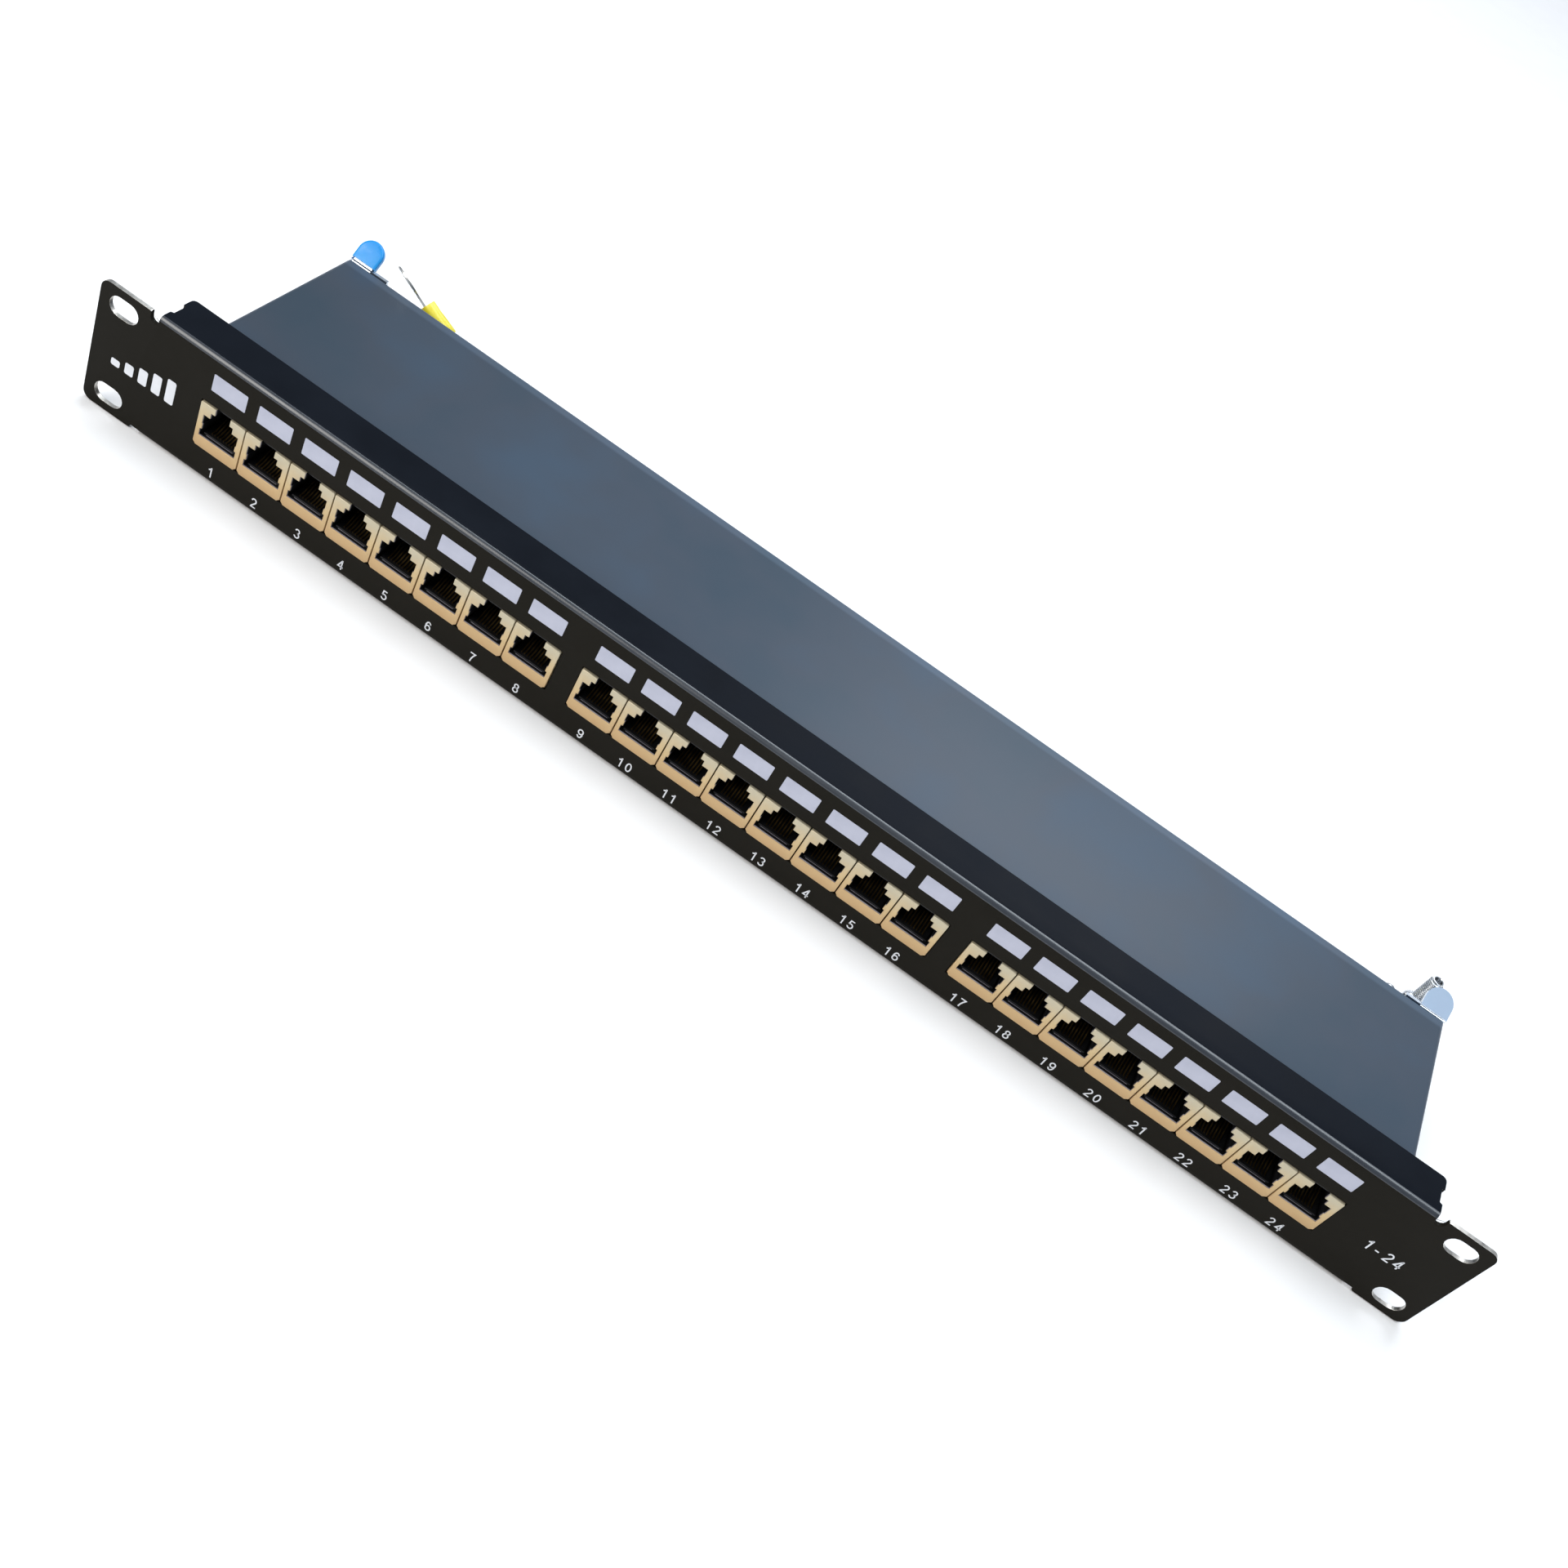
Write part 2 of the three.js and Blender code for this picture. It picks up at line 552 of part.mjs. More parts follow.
const shell = jackShell();
for (let k = 0; k < PORTS; k++)
  put("jack_shell_" + number(k), shell.translate([portX(k), 0, 0]), LOOKS.jackMetal);

GROUPS.forEach((letter, g) => {
  const x = groupX(g);
  put("contact_block_" + letter, contactBlock().translate([x, 0, 0]), LOOKS.blackPlastic);
  put("circuit_board_" + letter,
    block(x - BOARD.half, x + BOARD.half, BOARD.y0, BOARD.y1, BOARD.z0, BOARD.z1), LOOKS.board);
  put("idc_block_" + letter, idcBlock().translate([x, 0, 0]), LOOKS.idc);
});

put("chassis_base", chassisBase(), LOOKS.blackPaint);
put("top_cover", topCover(), LOOKS.coverPaint);
for (const [side, s] of [["left", -1], ["right", 1]])
  COVER_SCREWS.y.forEach((y, i) => {
    put(`cover_screw_${side}_${i + 1}`,
      panScrew(SCREW.length).rotate([0, s * 90, 0])
        .translate([s * (COVER.half + GAP), y, COVER_SCREWS.z]),
      LOOKS.zinc);
  });
RIVET.x.forEach((x, i) => {
  put(`base_rivet_${i + 1}`, rivet().translate([x, RIVET.y, 0]), LOOKS.zinc);
});

put("rear_tray", rearTray(), LOOKS.zinc);
put("tab_cap", tabCap(), LOOKS.bluePlastic);
TRAY_SCREWS.forEach(([x, z], i) => {
  put(`tray_screw_${i + 1}`,
    panScrew(SCREW.length).rotate([-90, 0, 0])
      .translate([x, TRAY.y0 + TRAY.sheet + GAP, z]),
    LOOKS.zinc);
});

put("earth_stud", earthStud(), LOOKS.zinc);
put("earth_washer", washer(), LOOKS.zinc);
put("earth_nut", nut(), LOOKS.zinc);
put("fixed_lug", ringLug().translate([STUD.x, STUD.y, LUG.z]), LOOKS.zinc);
put("fixed_lug_sleeve",
  lugSleeve().translate([STUD.x + SLEEVE_START, STUD.y, LUG.z + LUG_AXIS_Z]), LOOKS.yellowVinyl);
put("earth_lead", earthLead(), LOOKS.lead);
put("free_lug", freeEnd(ringLug()), LOOKS.zinc);
put("free_lug_sleeve",
  freeEnd(lugSleeve().translate([SLEEVE_START, 0, LUG_AXIS_Z])), LOOKS.yellowVinyl);
TIES.forEach((x, i) => put(`lead_tie_${i + 1}`, cableTie(x), LOOKS.tie));

export default root;
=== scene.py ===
"""24-port shielded patch panel, 1U, for a 19-inch rack: its looks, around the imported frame.

Builders work in panel millimetres: X right, Y rearwards from the panel's front face, Z up from
the panel's mid-height. piece() turns them into the row frame's metres.
"""

import math

import bmesh
import bpy
from mathutils import Matrix, Vector


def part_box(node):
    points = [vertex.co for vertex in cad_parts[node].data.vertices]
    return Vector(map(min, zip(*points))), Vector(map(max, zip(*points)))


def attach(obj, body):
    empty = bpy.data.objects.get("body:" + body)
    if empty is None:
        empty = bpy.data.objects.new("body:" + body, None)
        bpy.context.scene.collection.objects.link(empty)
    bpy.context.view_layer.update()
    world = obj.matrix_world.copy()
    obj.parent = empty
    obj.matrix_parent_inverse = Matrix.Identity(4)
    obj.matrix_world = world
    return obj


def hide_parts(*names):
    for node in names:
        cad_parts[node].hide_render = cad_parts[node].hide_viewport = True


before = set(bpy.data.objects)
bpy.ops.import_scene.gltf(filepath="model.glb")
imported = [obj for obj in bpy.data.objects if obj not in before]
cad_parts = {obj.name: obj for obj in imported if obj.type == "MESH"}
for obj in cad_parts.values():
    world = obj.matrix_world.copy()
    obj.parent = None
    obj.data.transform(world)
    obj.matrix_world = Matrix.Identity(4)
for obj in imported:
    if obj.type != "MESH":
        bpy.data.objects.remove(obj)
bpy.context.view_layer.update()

MM = 0.001
panel_low, panel_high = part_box("front_panel")
ORIGIN = Vector((0, panel_low.y, (panel_low.z + panel_high.z) / 2))
TO_ROW = Matrix.Translation(ORIGIN) @ Matrix.Scale(MM, 4)


def at(x, y, z):
    """A point of the panel, in millimetres, as a point of the row frame."""
    return TO_ROW @ Vector((x, y, z))


def span(node):
    """A CAD node's lowest and highest corners in panel millimetres."""
    back = TO_ROW.inverted()
    low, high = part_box(node)
    return back @ low, back @ high


# ---------- camera ----------
def camera():
    data = bpy.data.cameras.new("camera")
    data.sensor_width = 36
    data.lens = 40.185
    data.clip_start = 0.01
    data.clip_end = 20
    obj = bpy.data.objects.new("camera", data)
    obj.location = at(21.1, -368.3, 349.8)
    obj.rotation_euler = [math.radians(a) for a in (42.505, -23.836, 26.684)]
    bpy.context.scene.collection.objects.link(obj)
    bpy.context.scene.camera = obj


# ---------- materials ----------
LOOKS = {}  # every material, by name
NOISE_LOW, NOISE_HIGH = 0.3, 0.7  # most of a noise lies between these values


def new_look(name):
    """The nodes, the links and the shader of a new material."""
    LOOKS[name] = bpy.data.materials.new(name)
    LOOKS[name].use_nodes = True
    tree = LOOKS[name].node_tree
    return tree.nodes, tree.links, tree.nodes["Principled BSDF"]


def object_space(nodes):
    return nodes.new("ShaderNodeTexCoord").outputs["Object"]


def noise(nodes, links, source, scale, stretch=(1, 1, 1)):
    """A noise of `scale` cells a metre, stretched along an axis if asked."""
    mapping = nodes.new("ShaderNodeMapping")
    mapping.inputs["Scale"].default_value = stretch
    links.new(source, mapping.inputs["Vector"])
    made = nodes.new("ShaderNodeTexNoise")
    made.inputs["Scale"].default_value = scale
    made.inputs["Detail"].default_value = 3
    links.new(mapping.outputs["Vector"], made.inputs["Vector"])
    return made.outputs["Fac"]


def ramp(nodes, links, source, stops):
    """The colour of a value, from stops of (place, colour)."""
    made = nodes.new("ShaderNodeValToRGB")
    links.new(source, made.inputs["Fac"])
    elements = made.color_ramp.elements
    elements[0].position, elements[1].position = stops[0][0], stops[-1][0]
    elements[0].color, elements[1].color = (*stops[0][1], 1), (*stops[-1][1], 1)
    for place, colour in stops[1:-1]:
        elements.new(place).color = (*colour, 1)
    return made.outputs["Color"]


def two_tone(low, high):
    """Ramp stops for a noise that wanders between two colours."""
    return [(NOISE_LOW, low), (NOISE_HIGH, high)]


def mapped(nodes, links, source, start, end, least, most):
    """A value that runs from least to most while the source runs from start to end."""
    made = nodes.new("ShaderNodeMapRange")
    for socket, value in (
        ("From Min", start), ("From Max", end), ("To Min", least), ("To Max", most)):
        made.inputs[socket].default_value = value
    links.new(source, made.inputs["Value"])
    return made.outputs["Result"]


def spread(nodes, links, source, least, most):
    """A noise's usual span, mapped to the span from least to most."""
    return mapped(nodes, links, source, NOISE_LOW, NOISE_HIGH, least, most)


def coordinate(nodes, links, where, axis):
    split = nodes.new("ShaderNodeSeparateXYZ")
    links.new(where, split.inputs["Vector"])
    return split.outputs[axis]


def maths(nodes, links, operation, *values):
    """A maths node's result; each value is a plain number or another node's output."""
    made = nodes.new("ShaderNodeMath")
    made.operation = operation
    for socket, value in zip(made.inputs, values):
        if isinstance(value, float):
            socket.default_value = value
        else:
            links.new(value, socket)
    return made.outputs[0]


def bump(nodes, links, source, shader, depth, strength):
    """Bumps of `depth` millimetres."""
    made = nodes.new("ShaderNodeBump")
    made.inputs["Distance"].default_value = depth * MM
    made.inputs["Strength"].default_value = strength
    links.new(source, made.inputs["Height"])
    links.new(made.outputs["Normal"], shader.inputs["Normal"])


def surface(
    name, stops, mottle, rough, metallic=0.0, specular=0.5, grain=1500, depth=0.02, strength=0.3,
    coat=0.0, stretch=(1, 1, 1),
):
    """A material whose colour and roughness wander with a noise, and whose bump is a finer one.

    stops: [(place, colour)] of the colour ramp; mottle: cells a metre of the wandering noise;
    rough: (lowest, highest) roughness; grain: cells a metre of the bump; depth: its depth in mm.
    """
    nodes, links, shader = new_look(name)
    where = object_space(nodes)
    wander = noise(nodes, links, where, mottle, stretch=stretch)
    links.new(ramp(nodes, links, wander, stops), shader.inputs["Base Color"])
    links.new(spread(nodes, links, wander, *rough), shader.inputs["Roughness"])
    bump(nodes, links, noise(nodes, links, where, grain, stretch=stretch), shader, depth, strength)
    shader.inputs["Metallic"].default_value = metallic
    shader.inputs["Specular IOR Level"].default_value = specular
    shader.inputs["Coat Weight"].default_value = coat


def board_material():
    """Green solder mask with paler copper tracks under it."""
    nodes, links, shader = new_look("board")
    where = object_space(nodes)
    tracks = nodes.new("ShaderNodeTexBrick")
    tracks.inputs["Scale"].default_value = 260
    tracks.inputs["Mortar Size"].default_value = 0.035
    tracks.inputs["Color1"].default_value = (0.012, 0.1, 0.04, 1)
    tracks.inputs["Color2"].default_value = (0.014, 0.115, 0.046, 1)
    tracks.inputs["Mortar"].default_value = (0.03, 0.2, 0.07, 1)
    upright = nodes.new("ShaderNodeMapping")
    upright.inputs["Rotation"].default_value = (math.radians(90), 0, 0)
    links.new(where, upright.inputs["Vector"])
    links.new(upright.outputs["Vector"], tracks.inputs["Vector"])
    links.new(tracks.outputs["Color"], shader.inputs["Base Color"])
    links.new(spread(nodes, links, noise(nodes, links, where, 90), 0.25, 0.4), shader.inputs["Roughness"])
    bump(nodes, links, tracks.outputs["Fac"], shader, 0.03, 0.5)


# Where the cover's colour changes, in panel millimetres, and how much paler or darker it gets: paler in a
# band along the rear edge, and darker towards the left end as painted shade.
COVER_BAND = {"from": 87.2, "to": 88.4, "tone": 1.5}
COVER_PAINTED_SHADE = {"from": -220, "to": -100, "tone": 0.78}


def cover_material():
    """Slate-blue paint, mottled, with painted shade darkening the left end, and paler in a band along the
    rear edge.
    """
    nodes, links, shader = new_look("cover_paint")
    where = object_space(nodes)
    wander = noise(nodes, links, where, 22)
    slate = ramp(nodes, links, wander, [
        (0.3, (0.042, 0.064, 0.09)), (0.5, (0.052, 0.068, 0.093)), (0.7, (0.05, 0.075, 0.11))])
    band = mapped(
        nodes, links, coordinate(nodes, links, where, "Y"), at(0, COVER_BAND["from"], 0).y,
        at(0, COVER_BAND["to"], 0).y, 1, COVER_BAND["tone"])
    # Darker towards the left end: painted shade, where less of the sky is reflected.
    shade = mapped(
        nodes, links, coordinate(nodes, links, where, "X"), at(COVER_PAINTED_SHADE["from"], 0, 0).x,
        at(COVER_PAINTED_SHADE["to"], 0, 0).x, COVER_PAINTED_SHADE["tone"], 1)
    toned = nodes.new("ShaderNodeVectorMath")
    toned.operation = "SCALE"
    links.new(slate, toned.inputs[0])
    links.new(maths(nodes, links, "MULTIPLY", band, shade), toned.inputs["Scale"])
    links.new(toned.outputs[0], shader.inputs["Base Color"])
    links.new(spread(nodes, links, wander, 0.3, 0.36), shader.inputs["Roughness"])
    bump(nodes, links, noise(nodes, links, where, 900), shader, 0.008, 0.15)
    shader.inputs["Specular IOR Level"].default_value = 0.2


# The heights between which a jack's plate turns from tan to grey, in panel millimetres.
JACK_TAN, JACK_GREY = -10, 4


def jack_material():
    """Die-cast tan metal, mottled, greyer towards the top of the plate."""
    nodes, links, shader = new_look("jack_metal")
    where = object_space(nodes)
    wander = noise(nodes, links, where, 85)
    rise = mapped(
        nodes, links, coordinate(nodes, links, where, "Z"), at(0, 0, JACK_TAN).z,
        at(0, 0, JACK_GREY).z, -0.1, 0.55)
    tone = maths(nodes, links, "MULTIPLY_ADD", wander, 0.5, rise)
    colour = ramp(nodes, links, tone, [
        (0.1, (0.54, 0.35, 0.17)), (0.45, (0.58, 0.43, 0.23)), (0.85, (0.51, 0.46, 0.34))])
    links.new(colour, shader.inputs["Base Color"])
    links.new(spread(nodes, links, wander, 0.38, 0.5), shader.inputs["Roughness"])
    bump(nodes, links, noise(nodes, links, where, 2400), shader, 0.01, 0.3)
    shader.inputs["Metallic"].default_value = 0.55


def cap_material():
    """Blue vinyl, paler towards the mouth at its foot."""
    nodes, links, shader = new_look("blue_vinyl")
    where = object_space(nodes)
    low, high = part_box("tab_cap")
    rise = mapped(nodes, links, coordinate(nodes, links, where, "Z"), low.z, high.z, 0, 1)
    colour = ramp(nodes, links, rise, [
        (0.0, (0.16, 0.42, 0.72)), (0.3, (0.005, 0.28, 0.68)), (1.0, (0.0, 0.25, 0.66))])
    links.new(colour, shader.inputs["Base Color"])
    links.new(spread(nodes, links, noise(nodes, links, where, 400), 0.24, 0.4), shader.inputs["Roughness"])
    bump(nodes, links, noise(nodes, links, where, 900), shader, 0.03, 0.4)
    shader.inputs["Subsurface Weight"].default_value = 0.15
    shader.inputs["Subsurface Radius"].default_value = (0.2, 0.5, 1.0)
    shader.inputs["Subsurface Scale"].default_value = 0.001


PAIR_TONES = {
    "pair_blue": ((0.02, 0.08, 0.4), (0.03, 0.1, 0.48)),
    "pair_orange": ((0.7, 0.2, 0.02), (0.8, 0.25, 0.03)),
    "pair_green": ((0.02, 0.28, 0.07), (0.03, 0.34, 0.09)),
    "pair_brown": ((0.16, 0.07, 0.03), (0.2, 0.09, 0.04))}


def materials():
    """Makes every look, by name."""
    surface(
        "panel_paint", two_tone((0.0095, 0.0082, 0.0056), (0.0115, 0.01, 0.0074)), 60, (0.38, 0.48),
        specular=0.055, grain=1600, depth=0.015, strength=0.25)
    # The flange: the same black paint tinted blue, a painted reflection of the sky on its upward face.
    surface(
        "panel_flange_painted_reflection", two_tone((0.0035, 0.005, 0.0085), (0.005, 0.007, 0.0115)), 60, (0.36, 0.46),
        specular=0.05, grain=1600, depth=0.015, strength=0.25)
    # The bend: the same black paint, bluer, paler and far shinier, a painted highlight along the bend.
    surface(
        "panel_bend_painted_highlight", two_tone((0.014, 0.018, 0.026), (0.018, 0.022, 0.03)), 60, (0.26, 0.34),
        specular=0.9, grain=1600, depth=0.01, strength=0.15)
    cover_material()
    surface(
        "tab_face", two_tone((0.2, 0.26, 0.34), (0.25, 0.31, 0.4)), 90, (0.35, 0.45), metallic=0.4)
    jack_material()
    surface(
        "shield", two_tone((0.5, 0.48, 0.44), (0.62, 0.6, 0.55)), 120, (0.3, 0.45), metallic=1.0,
        grain=1800, depth=0.01)
    # The jack opening's lip and sill: pale grey-violet as painted reflection of the sky on the lip's edge,
    # and as a painted highlight on the sill.
    surface(
        "lip", two_tone((0.42, 0.38, 0.43), (0.52, 0.48, 0.54)), 300, (0.35, 0.45), metallic=0.35)
    surface(
        "black_plastic", two_tone((0.004, 0.004, 0.0045), (0.007, 0.007, 0.008)), 200, (0.3, 0.42),
        specular=0.4)
    surface(
        "idc_plastic", two_tone((0.02, 0.02, 0.022), (0.03, 0.03, 0.033)), 150, (0.42, 0.55),
        specular=0.4)
    surface(
        "print", two_tone((0.42, 0.43, 0.52), (0.47, 0.48, 0.57)), 180, (0.5, 0.62), specular=0.3,
        grain=3000, depth=0.006)
    surface(
        "numerals", two_tone((0.66, 0.67, 0.7), (0.74, 0.75, 0.78)), 180, (0.5, 0.62), specular=0.3,
        grain=3000, depth=0.006)
    # Bare steel on the panel's cut edges: partly bare metal, partly a painted highlight; on the ears' top
    # edges wholly a painted highlight.
    surface(
        "bare_steel_and_highlight", two_tone((0.5, 0.47, 0.43), (0.68, 0.65, 0.6)), 500, (0.25, 0.45),
        metallic=1.0, stretch=(1, 1, 12))
    surface(
        "zinc", [(0.3, (0.52, 0.57, 0.64)), (0.55, (0.62, 0.66, 0.7)), (0.75, (0.66, 0.66, 0.65))],
        55, (0.24, 0.38), metallic=1.0, grain=900, depth=0.012, strength=0.25)
    surface(
        "zinc_turned", two_tone((0.55, 0.57, 0.6), (0.74, 0.75, 0.76)), 400, (0.18, 0.32),
        metallic=1.0, grain=2500, depth=0.01)
    surface(
        "yellow_vinyl", two_tone((0.82, 0.68, 0.03), (0.9, 0.8, 0.12)), 160, (0.3, 0.42),
        coat=0.1, grain=1200, depth=0.02)
    surface(
        "sheath_yellow", two_tone((0.72, 0.62, 0.03), (0.8, 0.7, 0.05)), 120, (0.34, 0.46))
    surface(
        "sheath_green", two_tone((0.01, 0.2, 0.04), (0.02, 0.27, 0.06)), 120, (0.34, 0.46))
    surface(
        "tinned_copper", two_tone((0.56, 0.54, 0.5), (0.74, 0.73, 0.7)), 350, (0.22, 0.4),
        metallic=1.0, grain=2500)
    # Gold darkened far below real gold: painted shade inside the jacks.
    surface(
        "gold_with_painted_shade", two_tone((0.12, 0.08, 0.03), (0.17, 0.11, 0.04)), 400, (0.34, 0.46), metallic=1.0)
    surface(
        "nylon", two_tone((0.62, 0.61, 0.56), (0.72, 0.71, 0.66)), 200, (0.4, 0.5))
    board_material()
    cap_material()
    for name, tones in PAIR_TONES.items():
        surface(name, two_tone(*tones), 300, (0.5, 0.6))


# ---------- mesh tools ----------
SAME = 1e-4  # millimetres: places nearer than this are one place
SHARP = 1.0  # radians: an edge that turns more than this is a sharp one


def shaded(mesh):
    """Smooth shading, with every edge over 35 degrees kept sharp."""
    mesh.polygons.foreach_set("use_smooth", [True] * len(mesh.polygons))
    mesh.set_sharp_from_angle(angle=math.radians(35))


def rounded_edges(obj, width):
    """Breaks the edges over 38 degrees with a bevel of `width` millimetres."""
    made = obj.modifiers.new("edges", "BEVEL")
    made.width = width * MM
    made.segments = 2
    made.limit_method = "ANGLE"
    made.angle_limit = math.radians(38)
    made.use_clamp_overlap = False
    made.harden_normals = True


def closed(bm):
    """Joins the corners that meet and turns the faces outwards."""
    bmesh.ops.remove_doubles(bm, verts=bm.verts, dist=SAME)
    bmesh.ops.recalc_face_normals(bm, faces=bm.faces)
    return bm


def mesh_of(name, bm, looks):
    """A mesh in the row frame from a bmesh in panel millimetres."""
    mesh = bpy.data.meshes.new(name)
    bm.transform(TO_ROW)
    bm.to_mesh(mesh)
    bm.free()
    for look in looks:
        mesh.materials.append(LOOKS[look])
    shaded(mesh)
    return mesh


def piece(name, mesh, body="panel", nodes=(), edge=0.0, offset=(0, 0, 0)):
    """A visual piece that rides on a body; edge and offset are in millimetres."""
    obj = bpy.data.objects.new(name, mesh)
    obj.location = Vector(offset) * MM
    bpy.context.scene.collection.objects.link(obj)
    if edge:
        rounded_edges(obj, edge)
    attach(obj, body)
    if nodes:
        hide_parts(*nodes)
    return obj


def face(bm, points, look=0):
    made = bm.faces.new([bm.verts.new(p) for p in points])
    made.material_index = look
    return made


def strip(bm, line, y0, y1, look=0, loop=True):
    """Walls from y0 to y1 along a line of (x, z) points."""
    ends = zip(line, line[1:] + line[:1]) if loop else zip(line, line[1:])
    for (xa, za), (xb, zb) in ends:
        face(bm, [(xa, y0, za), (xb, y0, zb), (xb, y1, zb), (xa, y1, za)], look)


def plate(bm, outline, y0, y1, look=0):
    """A flat plate with the (x, z) outline, from y0 to y1."""
    strip(bm, outline, y0, y1, look)
    for y in (y0, y1):
        face(bm, [(x, y, z) for x, z in outline], look)


def box(bm, x0, x1, y0, y1, z0, z1, look=0):
    plate(bm, [(x0, z0), (x1, z0), (x1, z1), (x0, z1)], y0, y1, look)


def mirrored(line):
    """The other half of a symmetrical outline, in the order that goes on from the first half."""
    return [(-x, z) for x, z in reversed(line)]


def bow(cx, cz, rx, rz, start, end, steps=14):
    """Points of an oval's arc, angles in degrees."""
    angles = [math.radians(start + (end - start) * i / steps) for i in range(steps + 1)]
    return [(cx + rx * math.cos(a), cz + rz * math.sin(a)) for a in angles]


def arc(cx, cz, r, start, end, steps):
    return bow(cx, cz, r, r, start, end, steps)


def rounded_rectangle(cx, cz, width, height, r):
    w, h = width / 2 - r, height / 2 - r
    corners = ((w, -h, -90), (w, h, 0), (-w, h, 90), (-w, -h, 180))
    return [
        point for x, z, start in corners for point in arc(cx + x, cz + z, r, start, start + 90, 5)]


def lathe(profile, sides=40):
    """A round bmesh about Z from a closed or axis-to-axis line of (radius, z)."""
    bm = bmesh.new()
    for (ra, za), (rb, zb) in zip(profile, profile[1:]):
        for i in range(sides):
            a, b = (2 * math.pi * j / sides for j in (i, i + 1))
            corners = [
                (ra * math.cos(a), ra * math.sin(a), za), (ra * math.cos(b), ra * math.sin(b), za),
                (rb * math.cos(b), rb * math.sin(b), zb), (rb * math.cos(a), rb * math.sin(a), zb)]
            if ra == 0:
                corners = corners[1:]
            elif rb == 0:
                corners = corners[:3]
            face(bm, corners)
    return closed(bm)


CREST = 1.25  # over 1, so that a thread's crests are flat
RUN_OUT = 0.5  # turns over which a thread fades in and out


def thread(bm, r, depth, pitch, z0, z1, sides=32, steps=6):
    """A screw thread's surface about Z with `steps` rows a turn; its two open ends are returned."""
    rows = round((z1 - z0) / pitch * steps)
    fade = RUN_OUT * pitch
    grid = []
    for row in range(rows + 1):
        z = z0 + (z1 - z0) * row / rows
        ring = []
        for i in range(sides):
            a = 2 * math.pi * i / sides
            phase = (z / pitch - i / sides) % 1
            crest = min(1, CREST * abs(2 * phase - 1))
            share = min(1, (z - z0) / fade, (z1 - z) / fade)
            radius = r - depth * (1 - crest * share)
            ring.append(bm.verts.new((radius * math.cos(a), radius * math.sin(a), z)))
        grid.append(ring)
    for low, high in zip(grid, grid[1:]):
        for i in range(sides):
            j = (i + 1) % sides
            bm.faces.new([low[i], low[j], high[j], high[i]])
    return grid[0], grid[-1]


def combined(base, other, operation):
    """The boolean of two bmeshes, by the exact solver."""
    objects = []
    for bm in (base, other):
        mesh = bpy.data.meshes.new("scratch")
        bm.to_mesh(mesh)
        bm.free()
        objects.append(bpy.data.objects.new("scratch", mesh))
        bpy.context.scene.collection.objects.link(objects[-1])
    made = objects[0].modifiers.new("cut", "BOOLEAN")
    made.operation = operation
    made.solver = "EXACT"
    made.object = objects[1]
    graph = bpy.context.evaluated_depsgraph_get()
    result = bmesh.new()
    result.from_mesh(objects[0].evaluated_get(graph).to_mesh())
    for obj in objects:
        bpy.data.meshes.remove(obj.data)
    return result


# ---------- earth lead ----------
LEAD_DIAMETER = 0.004
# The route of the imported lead, in metres from the panel frame's origin.
LEAD_ROUTE = [
    (0.1896, 0.1032, -0.0032), (0.183, 0.1032, -0.0034), (0.1756, 0.1031, -0.0056),
    (0.168, 0.1029, -0.0096), (0.1596, 0.1026, -0.0134), (0.150, 0.1025, -0.0152),
    (0.1371, 0.1025, -0.0155), (0.118, 0.104, -0.0155), (0.097, 0.1076, -0.0155),
    (0.075, 0.110, -0.0155), (0.052, 0.109, -0.0155), (0.028, 0.1052, -0.0155),
    (0.0, 0.1025, -0.0155), (-0.024, 0.1002, -0.0155), (-0.048, 0.0988, -0.0155),
    (-0.072, 0.0992, -0.0155), (-0.094, 0.1012, -0.0155), (-0.113, 0.1025, -0.0155),
    (-0.129, 0.1025, -0.0155), (-0.142, 0.1022, -0.015), (-0.1524, 0.1015, -0.013),
    (-0.1616, 0.1006, -0.0094), (-0.1704, 0.0997, -0.0046), (-0.180, 0.099, 0.0009)]


def smooth_route(points, steps):
    """Points of the centripetal Catmull-Rom curve through `points`, `steps` to a stretch."""
    line = [2 * points[0] - points[1], *points, 2 * points[-1] - points[-2]]
    made = []
    for p0, p1, p2, p3 in zip(line, line[1:], line[2:], line[3:]):
        d0, d1, d2 = ((b - a).length ** 0.5 for a, b in ((p0, p1), (p1, p2), (p2, p3)))
        leave = (p1 - p0) / d0 - (p2 - p0) / (d0 + d1) + (p2 - p1) / d1
        arrive = (p2 - p1) / d1 - (p3 - p1) / (d1 + d2) + (p3 - p2) / d2
        leave, arrive = leave * d1, arrive * d1
        for i in range(steps):
            t = i / steps
            made.append(
                p1 * (2 * t**3 - 3 * t**2 + 1) + leave * (t**3 - 2 * t**2 + t)
                + p2 * (3 * t**2 - 2 * t**3) + arrive * (t**3 - t**2))
    return [*made, points[-1]]


